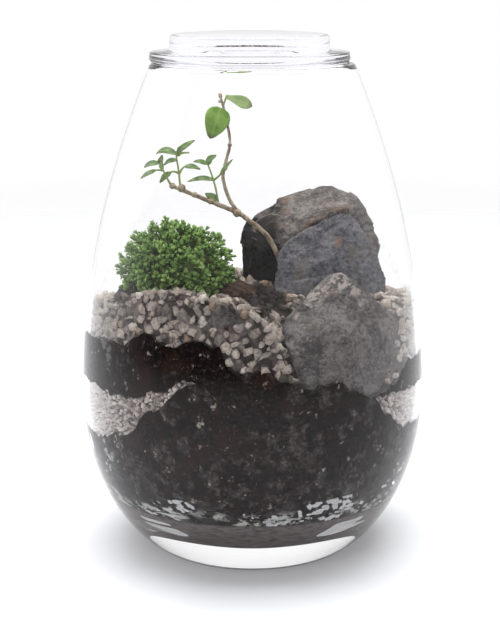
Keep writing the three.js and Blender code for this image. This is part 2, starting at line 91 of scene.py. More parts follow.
# A leaf is its start, its end, its width, the way it faces and how far it arches.
SHOOTS = {
    "shoot_left": {
        "stems": [
            [(-41, -13, 213.5), (-42, -12, 223.5), (-43, -11, 230), (-43.5, -10, 234)],
            [(-41.8, -12, 222), (-39.5, -11.4, 225.5), (-37, -11, 226.5)],
            [(-42, -12, 222.5), (-45, -12, 223.4), (-48, -12, 222.4)],
            [(-43.3, -10.5, 233), (-38.5, -10, 233.8), (-36, -10, 233.8)],
        ],
        "leaves": [
            [(-43, -10.5, 234), (-32.5, -11, 241), 4.4, (0, -1, 0.9), 1.0],
            [(-43, -10.5, 233), (-55, -9, 233), 5.6, (0.2, -1, 1), 3.6],
            [(-42.6, -11.5, 230), (-50.5, -13, 227), 4.0, (0, -1, 1.2), 1.6],
            [(-38.5, -11.4, 226.2), (-29.5, -12, 224.6), 4.2, (0.1, -1, 1), 1.2],
            [(-46.5, -12, 223), (-52.8, -13, 217), 4.8, (-0.4, -1, 0.8), 0.8],
            [(-42.8, -10, 232), (-42, -1.5, 236), 4.4, (0.8, 0, 1), 1.2],
        ],
    },
    "shoot_tip": {
        "stems": [
            [(-45.4, -14, 214), (-48.5, -16, 220.5), (-50.5, -17, 225), (-53, -18, 230.4)],
            [(-50.3, -17, 224.6), (-54, -17.6, 225), (-57, -18, 224)],
        ],
        "leaves": [
            [(-52.6, -17.6, 229), (-61, -18.5, 226.5), 4.6, (0, -1, 1), 1.8],
            [(-54.5, -17.6, 225), (-63, -19, 220.3), 3.6, (-0.2, -1, 1), 0.8],
            [(-52.6, -18, 229.5), (-50.5, -20, 234), 3.6, (0.4, -1, 0.2), 0.6],
            [(-50.6, -17, 225.4), (-51.5, -9.5, 229), 4.0, (-0.8, 0.2, 1), 1.0],
        ],
    },
    "shoot_middle": {
        "stems": [
            [(-19.4, -8, 203), (-21, -8, 212.5), (-22.5, -7, 218), (-24, -7, 222.5), (-26, -7, 228)],
            [(-22.4, -7, 217.6), (-19, -8, 220.5), (-17.6, -8.6, 223)],
        ],
        "leaves": [
            [(-25.4, -7, 227), (-33.8, -8.5, 228.6), 4.2, (0, -1, 1.2), 0.8],
            [(-26.4, -7, 227), (-20.6, -9, 232.4), 5.2, (-0.4, -1, 0.8), 1.0],
            [(-21.8, -7, 217.8), (-37.3, -8.5, 217), 4.2, (0, -1, 1.1), 2.2],
            [(-18.6, -8.2, 220.8), (-11.2, -9.4, 230), 3.2, (-0.9, -1, 0.5), 0.6],
            [(-20.4, -8, 206.4), (-27.3, -9.6, 210.4), 5.4, (0.2, -1, 0.3), 0.6],
            [(-25.6, -7, 226.6), (-25, 0.5, 229.5), 4.4, (0.4, 0, 1), 1.0],
        ],
    },
    "shoot_top": {
        "stems": [[(-16.9, 2, 257), (-19, 0.6, 257.4), (-20.4, 0, 256.6)]],
        "leaves": [[(-18.2, 0.6, 258.2), (-24.4, -1.6, 240.8), 14.6, (0.15, -1, 0.1), 1.4]],
    },
    "shoot_crown": {
        "stems": [[(-16.9, 2, 259), (-15.6, 1.8, 262.6), (-14.6, 1.6, 265)]],
        "leaves": [[(-15.4, 1.8, 264.6), (-0.2, 0.5, 258.9), 7.4, (0.1, -1, 0.5), 0.8]],
    },
}

# Where along its length a fresh leaf is widest. The leaves of the other shoots are older and duller.
WIDEST = {"shoot_top": 0.36, "shoot_crown": 0.68}


# Numbers and noise

def mixed(a, b, t):
    return a + (b - a) * t


def smoothstep(low, high, x):
    t = np.clip((x - low) / (high - low), 0, 1)
    return t * t * (3 - 2 * t)


def unit(vectors):
    vectors = np.asarray(vectors, float)
    return vectors / np.linalg.norm(vectors, axis=-1, keepdims=True)


# One value from -1 to 1 for each whole-numbered cell.
def cell_values(cells, seed):
    x, y, z = cells[:, 0], cells[:, 1], cells[:, 2]
    mix = (x * 73856093) ^ (y * 19349663) ^ (z * 83492791) ^ (seed * 26544357)
    mix = (mix ^ (mix >> 13)) * 1274126177
    mix = mix ^ (mix >> 16)
    return (mix & 0xFFFFFF) / float(0x7FFFFF) - 1


# Smooth noise from -1 to 1, with lumps about as wide as given.
def noise(points, width, seed):
    scaled = points / width
    cells = np.floor(scaled).astype(np.int64)
    share = scaled - cells
    share = share * share * (3 - 2 * share)
    total = np.zeros(len(points))
    for corner in itertools.product((0, 1), repeat=3):
        weight = np.prod(np.where(corner, share, 1 - share), axis=1)
        total += weight * cell_values(cells + corner, seed)
    return total


# Noise of several widths, each half the last and half as strong.
def rough(points, width, seed, octaves=3):
    total = np.zeros(len(points))
    strength = 1.0
    for octave in range(octaves):
        total += strength * noise(points, width / 2 ** octave, seed + octave)
        strength /= 2
    return total / (2 - 2 * strength)


def cell_vectors(cells, seed):
    return np.stack([cell_values(cells, seed + k) for k in range(3)], -1)


# Middles scattered one to a cell: for each point the distance to the nearest, its cell and the way from it.
def nearest_middle(points, width, seed):
    scaled = points / width
    own = np.floor(scaled).astype(np.int64)
    nearest, cell, way = np.full(len(points), 9.0), own, np.zeros_like(scaled)
    for step in itertools.product((-1, 0, 1), repeat=3):
        there = own + step
        offset = scaled - (there + 0.5 + 0.4 * cell_vectors(there, seed))
        distance = np.linalg.norm(offset, axis=1)
        closer = distance < nearest
        nearest = np.where(closer, distance, nearest)
        cell = np.where(closer[:, None], there, cell)
        way = np.where(closer[:, None], offset, way)
    return nearest, cell, way


# Rounded lumps packed side by side, about as wide as given: their height from 0 to 1, and a value for each.
def cobbles(points, width, seed):
    distance, cell, _ = nearest_middle(points, width, seed)
    return np.clip(1 - distance ** 2, 0, 1), 0.5 + 0.5 * cell_values(cell, seed + 3)


# Relief from flat chips packed side by side, about as wide as given, each of them tilted its own way.
def facets(points, width, seed):
    _, cell, way = nearest_middle(points, width, seed)
    return width * (way * cell_vectors(cell, seed + 5)).sum(axis=1)


# Angles all the way round, evenly spread.
def turns(count):
    return np.linspace(0, 2 * math.pi, count, endpoint=False)


# A random rotation matrix.
def turned(rng):
    a, b, c, d = unit(rng.normal(size=4))
    return np.array([
        [1 - 2 * (c * c + d * d), 2 * (b * c - a * d), 2 * (b * d + a * c)],
        [2 * (b * c + a * d), 1 - 2 * (b * b + d * d), 2 * (c * d - a * b)],
        [2 * (b * d - a * c), 2 * (c * d + a * b), 1 - 2 * (b * b + c * c)],
    ])


# Points round a circle that lies along two directions at right angles.
def circle(middle, radius, side, other, count):
    turn = turns(count)[:, None]
    return middle + radius * (np.cos(turn) * side + np.sin(turn) * other)


# Meshes, each an array of points in millimetres and an array of triangles

def triangles(a, b, c):
    return np.stack(np.broadcast_arrays(a, b, c), -1).reshape(-1, 3)


def facing_out(points, faces):
    a, b, c = (points[faces[:, k]] for k in range(3))
    volume = np.einsum("ij,ij->i", a, np.cross(b, c)).sum()
    return faces if volume > 0 else faces[:, ::-1]


# A closed body from rows of points that each go round it, with one more point closing each end.
def ringed(first, rows, last):
    rows = np.asarray(rows, float)
    points = np.concatenate([[first], rows.reshape(-1, 3), [last]])
    count, around = rows.shape[:2]
    start = 1 + around * np.arange(count)[:, None]
    here = start + np.arange(around)
    after = start + (np.arange(around) + 1) % around
    faces = np.concatenate([
        triangles(0, after[0], here[0]), triangles(here[:-1], after[:-1], after[1:]),
        triangles(here[:-1], after[1:], here[1:]), triangles(len(points) - 1, here[-1], after[-1])])
    return points, facing_out(points, faces)


# A round body from a profile of (radius, height) that starts and ends on the axis.
def lathe(profile, around):
    profile = np.asarray(profile, float)
    turn = turns(around)
    radius, height = profile[1:-1, :1], profile[1:-1, 1:]
    rows = np.stack([radius * np.cos(turn), radius * np.sin(turn), height + 0 * turn], -1)
    return ringed((0, 0, profile[0, 1]), rows, (0, 0, profile[-1, 1]))


# Joins meshes into one array of points and one of triangles.
def joined(meshes):
    offsets = np.cumsum([0] + [len(points) for points, _ in meshes[:-1]])
    points = np.concatenate([points for points, _ in meshes])
    return points, np.concatenate([faces + offset for (_, faces), offset in zip(meshes, offsets)])


# Meshes gathered one by one, with marks for their points: one value for a whole mesh, or one for each point.
class Gathered:
    def __init__(self, *labels):
        self.meshes = []
        self.marks = {label: [] for label in labels}

    def add(self, points, faces, **marks):
        self.meshes.append((points, faces))
        for label, values in self.marks.items():
            values.append(np.broadcast_to(marks.get(label, 0.0), len(points)))

    def put_together(self):
        return *joined(self.meshes), {label: np.concatenate(values) for label, values in self.marks.items()}


def read_mesh(mesh):
    points = np.zeros(3 * len(mesh.vertices))
    mesh.vertices.foreach_get("co", points)
    mesh.calc_loop_triangles()
    faces = np.zeros(3 * len(mesh.loop_triangles), np.int64)
    mesh.loop_triangles.foreach_get("vertices", faces)
    return points.reshape(-1, 3) / MM, faces.reshape(-1, 3)


def node_mesh(node):
    return read_mesh(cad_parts[node].data)


def point_normals(points, faces):
    a, b, c = (points[faces[:, k]] for k in range(3))
    normals = np.zeros_like(points)
    face_normals = np.cross(b - a, c - a)
    for k in range(3):
        np.add.at(normals, faces[:, k], face_normals)
    return normals / np.maximum(np.linalg.norm(normals, axis=1, keepdims=True), 1e-9)


# Moves each point out along its normal by its own relief.
def raised(points, faces, relief):
    return points + point_normals(points, faces) * relief[:, None]


def add_object(name, points, faces):
    mesh = bpy.data.meshes.new(name)
    mesh.from_pydata((points * MM).tolist(), [], faces.tolist())
    made = bpy.data.objects.new(name, mesh)
    bpy.context.scene.collection.objects.link(made)
    return made


# Joins overlapping shapes into one skin of even small faces, smoothed.
def reskinned(points, faces, voxel, smoothing):
    scratch = add_object("scratch", points, faces)
    mesh = scratch.data
    remesh = scratch.modifiers.new("remesh", "REMESH")
    remesh.mode = "VOXEL"
    remesh.voxel_size = voxel * MM
    smooth = scratch.modifiers.new("smooth", "SMOOTH")
    smooth.factor = 0.5
    smooth.iterations = smoothing
    evaluated = scratch.evaluated_get(bpy.context.evaluated_depsgraph_get())
    result = read_mesh(evaluated.data)
    bpy.data.objects.remove(scratch)
    bpy.data.meshes.remove(mesh)
    return result


def add_piece(name, points, faces, look, slot, node, **marks):
    piece = add_object(name, points, faces)
    piece.data.materials.append(look)
    piece.data.polygons.foreach_set("use_smooth", [True] * len(faces))
    for label, values in marks.items():
        attribute = piece.data.attributes.new(label, "FLOAT", "POINT")
        attribute.data.foreach_set("value", np.asarray(values, np.float32))
    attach(piece, "root")
    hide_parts(node)


# Materials

# A colour given as it looks on a screen, from 0 to 255, as the shader wants it.
def screen(red, green, blue):
    levels = [level / 255 for level in (red, green, blue)]
    linear = [c / 12.92 if c <= 0.04 else ((c + 0.055) / 1.055) ** 2.4 for c in levels]
    return (*linear, 1.0)


# A node tree that is put together step by step. Each input is a plain value or the output of another node.
class Nodes:
    def __init__(self, tree):
        self.tree = tree

    def fill(self, socket, value):
        if isinstance(value, bpy.types.NodeSocket):
            self.tree.links.new(value, socket)
        else:
            socket.default_value = value

    def node(self, kind, inputs=(), **properties):
        made = self.tree.nodes.new(kind)
        for label, value in properties.items():
            setattr(made, label, value)
        for socket, value in dict(inputs).items():
            self.fill(made.inputs[socket], value)
        return made

    def math(self, operation, *values):
        return self.node("ShaderNodeMath", dict(enumerate(values)), operation=operation).outputs["Value"]

    def times(self, a, b):
        return self.math("MULTIPLY", a, b)

    def plus(self, a, b):
        return self.math("ADD", a, b)

    def span(self, value, low, high, to_low=0.0, to_high=1.0):
        inputs = {"Value": value, "From Min": low, "From Max": high, "To Min": to_low, "To Max": to_high}
        return self.node("ShaderNodeMapRange", inputs, interpolation_type="SMOOTHSTEP").outputs["Result"]

    def part(self, vector, axis):
        return self.node("ShaderNodeSeparateXYZ", {"Vector": vector}).outputs[axis]


# A material with a Principled shader, painted coat by coat. Widths and depths are in millimetres.
class Look(Nodes):
    def __init__(self, name, settings):
        self.material = bpy.data.materials.new(name)
        self.material.use_nodes = True
        super().__init__(self.material.node_tree)
        self.shader = self.tree.nodes["Principled BSDF"]
        self.place = self.node("ShaderNodeTexCoord").outputs["Object"]
        self.drive(**settings)

    def drive(self, **settings):
        for socket, value in settings.items():
            self.fill(self.shader.inputs[socket], value)

    # Noise from 0 to 1 with lumps about as wide as given. A stretch is a turn in degrees and a scale.
    def noise(self, width, detail, roughness=0.5, stretch=None, distortion=0.0):
        place = self.place
        if stretch:
            turn = [math.radians(angle) for angle in stretch[0]]
            inputs = {"Vector": place, "Rotation": turn, "Scale": stretch[1]}
            place = self.node("ShaderNodeMapping", inputs).outputs["Vector"]
        inputs = {"Vector": place, "Scale": 1 / (width * MM), "Detail": detail, "Distortion": distortion,
                  "Roughness": roughness}
        return self.node("ShaderNodeTexNoise", inputs).outputs["Fac"]

    # Patches where the noise passes from the low to the high value.
    def patches(self, width, detail, low, high, roughness=0.5, **form):
        return self.span(self.noise(width, detail, roughness, **form), low, high)

    def mark(self, label):
        return self.node("ShaderNodeAttribute", attribute_name=label).outputs["Fac"]

    # Screen colours by position along a value.
    def ramp(self, value, stops):
        node = self.node("ShaderNodeValToRGB", {"Fac": value})
        elements = node.color_ramp.elements
        while len(elements) < len(stops):
            elements.new(0.5)
        for element, (position, colour) in zip(elements, stops.items()):
            element.position = position
            element.color = screen(*colour)
        return node.outputs["Color"]

    def undercoat(self, value, stops):
        self.colour = self.ramp(value, stops)

    # Lays a coat over the colour so far, either of one screen colour or of a ramp.
    def paint(self, coat, share, strength=1.0):
        if strength != 1.0:
            share = self.times(share, strength)
        coat = coat if isinstance(coat, bpy.types.NodeSocket) else screen(*coat)
        inputs = {0: share, 6: self.colour, 7: coat}
        self.colour = self.node("ShaderNodeMix", inputs, data_type="RGBA").outputs[2]

    def vary_roughness(self, wear, least, most):
        self.drive(Roughness=self.span(wear, 0.3, 0.7, least, most))

    # Shows a transparent shader instead of the material's own, as far as each of the shares says.
    def clear(self, shares, colour=(1.0, 1.0, 1.0, 1.0)):
        clear = self.node("ShaderNodeBsdfTransparent", {"Color": colour}).outputs["BSDF"]
        shown = self.shader.outputs["BSDF"]
        for share in shares:
            shown = self.node("ShaderNodeMixShader", {0: share, 1: shown, 2: clear}).outputs["Shader"]
        self.fill(self.tree.nodes["Material Output"].inputs["Surface"], shown)

    # The material with its colour, a roughness that varies between two values and a fine relief.
    def finished(self, wear, least, most, height, depth, strength):
        self.vary_roughness(wear, least, most)
        relief = {"Height": height, "Distance": depth * MM, "Strength": strength}
        normal = self.node("ShaderNodeBump", relief).outputs["Normal"]
        self.drive(**{"Base Color": self.colour, "Normal": normal})
        return self.material


# Glass that lets the light of the lamps and of what lies in it straight through, slightly dimmed.
def glass_look(name, colour):
    look = Look(name, {"Base Color": (*colour, 1.0), "Transmission Weight": 1.0, "IOR": 1.5,
                       "Specular Tint": (0.4, 0.4, 0.4, 1.0)})
    look.vary_roughness(look.noise(45, 1), 0.0, 0.004)
    path = look.node("ShaderNodeLightPath").outputs
    look.clear([path["Is Diffuse Ray"], path["Is Shadow Ray"]], (0.84, 0.84, 0.84, 1.0))
    return look.material


def soil_look(name, patch_level):
    look = Look(name, {"Specular IOR Level": 0.04})
    height = look.part(look.place, "Z")
    fine = look.noise(2.2, 6, 0.68)
    look.undercoat(fine, {0.36: (4, 2, 2), 0.47: (14, 8, 7), 0.58: (31, 21, 18), 0.68: (58, 45, 39)})
    look.paint((42, 25, 20), look.patches(24, 3, 0.54, 0.66), 0.5)
    # Grey islands where the soil has dried on the glass, fewer of them high up
    clouds = look.plus(look.noise(13, 3), look.span(height, 0.075, 0.095, 0.03, -0.05))
    clouds = look.span(clouds, patch_level - 0.06, patch_level + 0.06)
    clouds = look.times(clouds, look.patches(6.5, 9, 0.495, 0.515, 0.68))
    look.paint(look.ramp(fine, {0.38: (32, 27, 27), 0.52: (50, 45, 44), 0.64: (78, 72, 69)}), clouds)
    # Pale crumbs and small flecks
    look.paint((140, 134, 126), look.patches(6, 9, 0.62, 0.63, 0.76))
    look.paint((104, 88, 78), look.patches(1.3, 3, 0.69, 0.72))
    # Painted glints: a broken line of white just above the base, and a grey tone on its bowl
    low = look.times(look.span(height, 0.049, 0.043), look.span(height, 0.037, 0.039))
    low = look.times(low, look.patches(34, 2, 0.46, 0.56))
    # Painted reflection: white glints where the glass mirrors light at small gaps in the soil
    look.paint((172, 174, 168), look.times(low, look.patches(8, 9, 0.52, 0.53, 0.74)))
    bowl_grey = look.span(look.noise(4, 3), 0.3, 0.6, 0.4, 0.9)
    look.paint((118, 110, 108), look.times(look.span(height, 0.0385, 0.036), bowl_grey))
    return look.finished(look.noise(3, 3), 0.65, 0.95, fine, 0.5, 0.8)


def gravel_look(name, dark, middle, pale):
    look = Look(name, {"Specular IOR Level": 0.12})
    tint = look.mark("tint")
    look.undercoat(tint, {
        0.0: (26, 22, 20), 0.16: dark, 0.45: middle, 0.8: pale, 1.0: (214, 206, 196)})
    look.paint((172, 140, 108), look.mark("warm"), 0.4)
    # Dark pits, pale dust on the paler stones, and soil
    look.paint((52, 44, 41), look.patches(1.6, 6, 0.50, 0.36, 0.66), 0.55)
    look.paint((222, 212, 202), look.times(look.patches(2.6, 5, 0.50, 0.70, 0.6), tint), 0.7)
    look.paint((66, 54, 50), look.patches(5, 7, 0.56, 0.66, 0.66), 0.3)
    return look.finished(look.noise(2, 2), 0.75, 0.98, look.noise(0.8, 5), 0.35, 0.8)


# Slate, with stains, pale crusts and a rusty spot where its marks say, pale specks and a near-black painted
# shade.
def slate_look(name, low, middle, high, stain, turn):
    look = Look(name, {"Specular IOR Level": 0.15})
    grain = look.noise(6, 5, 0.6, (turn, (1.0, 1.0, 3.0)))
    fine = look.noise(2.0, 7, 0.8)
    value = look.plus(look.times(look.noise(13, 7, 0.62), 0.36), look.times(grain, 0.14))
    value = look.plus(value, look.times(fine, 0.5))
    look.undercoat(value, {0.435: low, 0.50: middle, 0.565: high})
    look.paint(stain, look.patches(17, 7, 0.55, 0.67, 0.62, distortion=0.5), 0.6)
    look.paint((162, 154, 148), look.times(look.mark("crust"), look.patches(5, 9, 0.49, 0.53, 0.76)))
    look.paint((168, 162, 158), look.patches(1.1, 3, 0.64, 0.70), 0.6)
    look.paint((142, 108, 70), look.times(look.mark("spot"), look.patches(2.2, 5, 0.42, 0.52)), 0.7)
    # Painted shade: near black where the mark says, for a face that lies in shadow
    look.paint(look.ramp(value, {0.40: (14, 13, 13), 0.62: (56, 52, 51)}), look.mark("shade"))
    relief = look.plus(look.times(grain, 0.5), look.times(fine, 0.5))
    return look.finished(fine, 0.62, 0.92, relief, 0.5, 1.0)


def root_look():
    look = Look("roots_and_peat", {"Specular IOR Level": 0.2})
    look.undercoat(look.noise(4, 5), {0.3: (26, 19, 16), 0.5: (58, 44, 37), 0.7: (92, 74, 62)})
    fibres = look.patches(2.4, 3, 0.60, 0.70, stretch=((20, 40, 0), (1.0, 6.0, 1.0)))
    look.paint((120, 98, 78), fibres, 0.6)
    return look.finished(look.noise(3, 2), 0.8, 1.0, look.noise(1.2, 6), 0.6, 0.9)


def bark_look():
    look = Look("twig_bark", {"Specular IOR Level": 0.3})
    look.undercoat(look.noise(5, 5), {
        0.3: (142, 122, 108), 0.5: (186, 168, 144), 0.7: (218, 204, 178)})
    look.paint((96, 78, 70), look.patches(1.6, 4, 0.48, 0.62, stretch=((0, 35, 0), (1.0, 1.0, 0.3))), 0.5)
    look.paint((78, 58, 66), look.mark("bud"))
    ridges = look.noise(0.9, 5, stretch=((0, 35, 0), (1.0, 1.0, 0.35)))
    return look.finished(look.noise(2, 2), 0.6, 0.9, ridges, 0.3, 0.9)


def leaf_look():
    look = Look("twig_leaves", {"Specular IOR Level": 0.4, "Subsurface Weight": 0.15,
                                "Subsurface Radius": (0.4, 0.8, 0.2), "Subsurface Scale": MM})
    look.undercoat(look.noise(7, 3), {0.3: (96, 138, 56), 0.5: (124, 160, 72), 0.7: (152, 182, 96)})
    old = look.ramp(look.noise(3, 4), {0.3: (80, 106, 66), 0.5: (116, 142, 92), 0.7: (158, 178, 128)})
    coats = {"old": (old, 1.0), "pale": ((206, 210, 178), 0.32), "vein": ((184, 204, 130), 0.3),
             "stem": ((150, 168, 92), 1.0), "tip": ((96, 88, 66), 0.7)}
    for label, (coat, strength) in coats.items():
        look.paint(coat, look.mark(label), strength)
    relief = look.plus(look.mark("vein"), look.noise(1.2, 3))
    return look.finished(look.noise(3, 2), 0.38, 0.6, relief, 0.12, 0.6)


def cushion_look():
    look = Look("cushion_leaflets", {"Specular IOR Level": 0.35})
    look.undercoat(look.mark("tint"), {
        0.0: (46, 64, 32), 0.35: (96, 130, 60), 0.7: (142, 178, 96), 1.0: (192, 214, 146)})
    look.paint((142, 168, 96), look.patches(9, 3, 0.45, 0.65), 0.3)
    look.paint((82, 84, 48), look.mark("stem"))
    return look.finished(look.noise(2, 2), 0.45, 0.7, look.noise(0.7, 4), 0.12, 0.6)


# The jar and its lid

def outer_radius(z):
    low = np.clip(1 - z / JAR.belly_height, 0, 1)
    bulge = np.clip(1 - low ** JAR.rise_power, 0, 1) ** (1 / JAR.bulge_power)
    below = mixed(JAR.foot_radius, JAR.belly_radius, bulge)
    high = np.clip((z - JAR.belly_height) / (JAR.height - JAR.belly_height), 0, 1)
    above = mixed(JAR.belly_radius, JAR.rim_radius, high ** JAR.shoulder_power)
    return np.where(z < JAR.belly_height, below, above)


CORNER_RADIUS = float(outer_radius(JAR.corner_height)) - JAR.wall


def cavity_radius(z):
    rise = np.clip((z - JAR.floor) / (JAR.corner_height - JAR.floor), 0, 1)
    rounded = CORNER_RADIUS * (1 - (1 - rise) ** JAR.corner_power) ** (1 / JAR.corner_power)
    return np.where(z < JAR.corner_height, rounded, outer_radius(z) - JAR.wall)


# The rounded floor of the cavity, from the axis out to the wall.
def floor_profile(steps):
    angle = np.linspace(0, math.pi / 2, steps + 1)
    radius = CORNER_RADIUS * np.sin(angle) ** (2 / JAR.corner_power)
    rise = 1 - np.clip(np.cos(angle), 0, 1) ** (2 / JAR.corner_power)
    return np.stack([radius, mixed(JAR.floor, JAR.corner_height, rise)], -1)


def floor_height(radius):
    rise = 1 - (1 - (radius / CORNER_RADIUS) ** JAR.corner_power) ** (1 / JAR.corner_power)
    return mixed(JAR.floor, JAR.corner_height, rise)


def quarter_arc(centre, radius, start):
    angles = np.radians(start) + np.linspace(0, math.pi / 2, 5)
    return [(centre[0] + radius * math.cos(t), centre[1] + radius * math.sin(t)) for t in angles]


def jar_profile():
    lip_height = JAR.height - JAR.lip
    lower = JAR.belly_height * np.linspace(0, 1, 61) ** 1.8
    upper = np.linspace(JAR.belly_height, lip_height, 60)[1:]
    heights = np.concatenate([lower, upper])
    outside = np.stack([outer_radius(heights), heights], -1)
    rim = quarter_arc((JAR.rim_radius - JAR.lip, lip_height), JAR.lip, 0)[1:]
    rim += quarter_arc((JAR.rim_radius - JAR.wall + JAR.lip, lip_height), JAR.lip, 90)
    wall = np.linspace(lip_height, JAR.corner_height, 70)[1:]
    inside = np.stack([cavity_radius(wall), wall], -1)
    return np.concatenate([[(0, 0)], outside, rim, inside, floor_profile(40)[::-1][1:]])


# Few points, so that shading makes its edges soft, as on pressed glass.
def lid_profile():
    seat = JAR.height + GAP
    flange_top = seat + LID.flange_height
    return [
        (0, seat + LID.arch),
        (LID.seat_radius / 2, seat + 0.75 * LID.arch),
        (LID.seat_radius, seat),
        (LID.flange_radius - 1.2, seat + 0.4),
        (LID.flange_radius, seat + 2.3),
        (LID.flange_radius - 0.4, flange_top - 0.4),
        (LID.disc_radius + 1.6, flange_top + 0.3),
        (LID.disc_radius + 0.2, flange_top + 1.2),
        (LID.disc_radius - 0.2, LID.top - 1.0),
        (LID.disc_radius - 1.4, LID.top),
        (0, LID.top),
    ]


def make_glass():
    sides = 144
    jar_look = glass_look("clear_glass", (0.99, 0.99, 1.0))
    add_piece("jar", *lathe(jar_profile(), sides), jar_look, "glass", "glass_jar")
    points, faces = lathe(lid_profile(), sides)
    lid_look = glass_look("lid_glass", (0.93, 0.93, 0.97))
    add_piece("lid", points + (LID.shift, 0, 0), faces, lid_look, "glass", "glass_lid")


# The layers of soil and gravel

def placed(azimuth, radius, height):
    turn = np.radians(azimuth)
    return np.stack(np.broadcast_arrays(radius * np.sin(turn), -radius * np.cos(turn), height), -1)


def smooth_edge_height(name, azimuth):
    angles, heights = np.array(LAYER_EDGES[name], float).T
    angles = np.append(angles, angles[0] + 360)
    heights = np.append(heights, heights[0])
    step = np.clip(np.searchsorted(angles, azimuth, side="right") - 1, 0, len(angles) - 2)
    share = smoothstep(angles[step], angles[step + 1], azimuth)
    return mixed(heights[step], heights[step + 1], share)


# Where a layer's top meets the glass, ragged by a millimetre or two.
def edge_height(name, azimuth):
    ring = placed(azimuth, JAR.belly_radius, 0.0)
    seed = 178 if name == "gravel_band" else 171
    ragged = 1.2 * rough(ring, 9, seed, 2) + 1.9 * rough(ring, 3.2, seed + 3, 2)
    return smooth_edge_height(name, azimuth) + ragged


def layer_height(name, x, y):
    azimuth = np.degrees(np.arctan2(x, -y))
    share = smoothstep(MIDDLE_REACH, 1, np.hypot(x, y) / (JAR.belly_radius - JAR.wall))
    return mixed(LAYER_MIDDLES[name], edge_height(name, azimuth), share)


def highest(names, x, y):
    return np.max([layer_height(name, x, y) for name in names], axis=0)


def highest_edge(names, azimuth):
    return np.max([edge_height(name, azimuth) for name in names], axis=0)


# Brings points nearer to the jar's axis, each to its own share of the way.
def nearer_axis(points, share):
    return points * np.stack([share, share, np.ones_like(share)], -1)


# Brings points that reach past the inside of the jar back onto it.
def pressed_to_glass(points, reach=STONE_CONTACT):
    radius = np.hypot(points[:, 0], points[:, 1])
    limit = cavity_radius(points[:, 2]) + reach
    return nearer_axis(points, np.minimum(1, limit / np.maximum(radius, 1e-6)))


# Moves the face at the glass inwards by a depth for each of its points.
def drawn_in(wall, depth):
    flat = wall.reshape(-1, 3)
    radius = np.hypot(flat[:, 0], flat[:, 1])
    return nearer_axis(flat, (radius - depth) / radius).reshape(wall.shape)


# How far the soil stands above the bowl of the base: long, narrow pockets of air near its edge, at the left
# and right of the front, and none elsewhere.
def air_pockets(azimuth, radius):
    side = smoothstep(38, 50, np.abs(azimuth)) * smoothstep(100, 80, np.abs(azimuth))
    outer = smoothstep(40, 48, radius)
    streaks = noise(placed(azimuth, 12.0, radius), 4.5, 131)
    return 0.6 * side * outer * smoothstep(-0.15, -0.05, streaks)


# A ring of points that lies on the surface whose height a function gives.
def draped(azimuth, radius, surface):
    ring = placed(azimuth, radius, 0.0)
    ring[:, 2] = surface(ring[:, 0], ring[:, 1])
    return ring


# The rows of points of a layer: its top from the middle out, its face at the glass and its underside back
# to the middle, and the two points that close it. Where the layer runs out, its edge draws back behind the
# layers that cover it.
def layer_rows(name, below, top_rings, wall_rows, inset=0.0, lowered=0.0):
    thin, run_out_depth = 1.5, 2.2
    under_rings, bowl_rings = 9, 24
    azimuth = np.linspace(-180, 180, AROUND, endpoint=False)
    top_edge = edge_height(name, azimuth) - lowered
    if below:
        under = highest_edge(below, azimuth)
        bottom_edge = np.minimum(under, top_edge) - GAP
        drawn_back = inset + run_out_depth * (1 - smoothstep(0.0, thin, top_edge - under))
        bottom = LAYER_MIDDLES[below[-1]] - GAP
    else:
        bottom_edge = np.full(AROUND, FACE_BOTTOM)
        drawn_back = np.full(AROUND, inset)
        bottom = JAR.floor - SOIL_CONTACT

    def own(x, y):
        return layer_height(name, x, y) - lowered

    def base(x, y):
        return np.minimum(highest(below, x, y), own(x, y)) - GAP

    top = [draped(azimuth, share * (cavity_radius(top_edge) - drawn_back), own)
           for share in np.linspace(0, 1, top_rings + 2)[1:-1]]
    wall = []
    for share in np.linspace(0, 1, wall_rows):
        height = mixed(top_edge, bottom_edge, share)
        reach = SOIL_CONTACT * (1 + 3 * smoothstep(JAR.corner_height, FACE_BOTTOM, height))
        wall.append(placed(azimuth, cavity_radius(height) + reach - drawn_back, height))
    if below:
        under_side = [draped(azimuth, share * (cavity_radius(bottom_edge) - drawn_back), base)
                      for share in np.linspace(1, 0, under_rings)[1:-1]]
    else:
        under_side = [placed(azimuth, r, floor_height(r) - SOIL_CONTACT + air_pockets(azimuth, r))
                      for r in np.linspace(cavity_radius(FACE_BOTTOM), 0, bowl_rings)[1:-1]]
    ends = (0, 0, LAYER_MIDDLES[name] - lowered), (0, 0, bottom)
    return np.array(top), np.array(wall), np.array(under_side), ends


# How far soil stands back from the glass: pressed flat to it in most places, with jagged little hollows
# low down, where the jar curves in, and at its sides, and none on the bowl of its base.
def soil_hollows(points, seed):
    azimuth = np.degrees(np.arctan2(points[:, 0], -points[:, 1]))
    height = points[:, 2]
    low = smoothstep(64, 50, height) * smoothstep(FACE_BOTTOM + 2, FACE_BOTTOM + 5, height)
    tail = smoothstep(5, 2, np.abs(azimuth + 63 - 0.72 * (80 - height))) * smoothstep(58, 64, height)
    share = np.maximum(low, 0.8 * smoothstep(40, 60, np.abs(azimuth)))
    jagged = 0.4 * noise(points, 13, seed) + 0.6 * rough(points, 2.8, seed + 1, 2)
    jagged += 0.25 * tail * smoothstep(84, 80, height) - mixed(0.6, 0.25, share)
    hollow = smoothstep(0.0, 0.05, jagged)
    crumbs, _ = cobbles(points, 2.4, seed + 5)
    return hollow * (0.35 + 1.1 * (1 - crumbs))


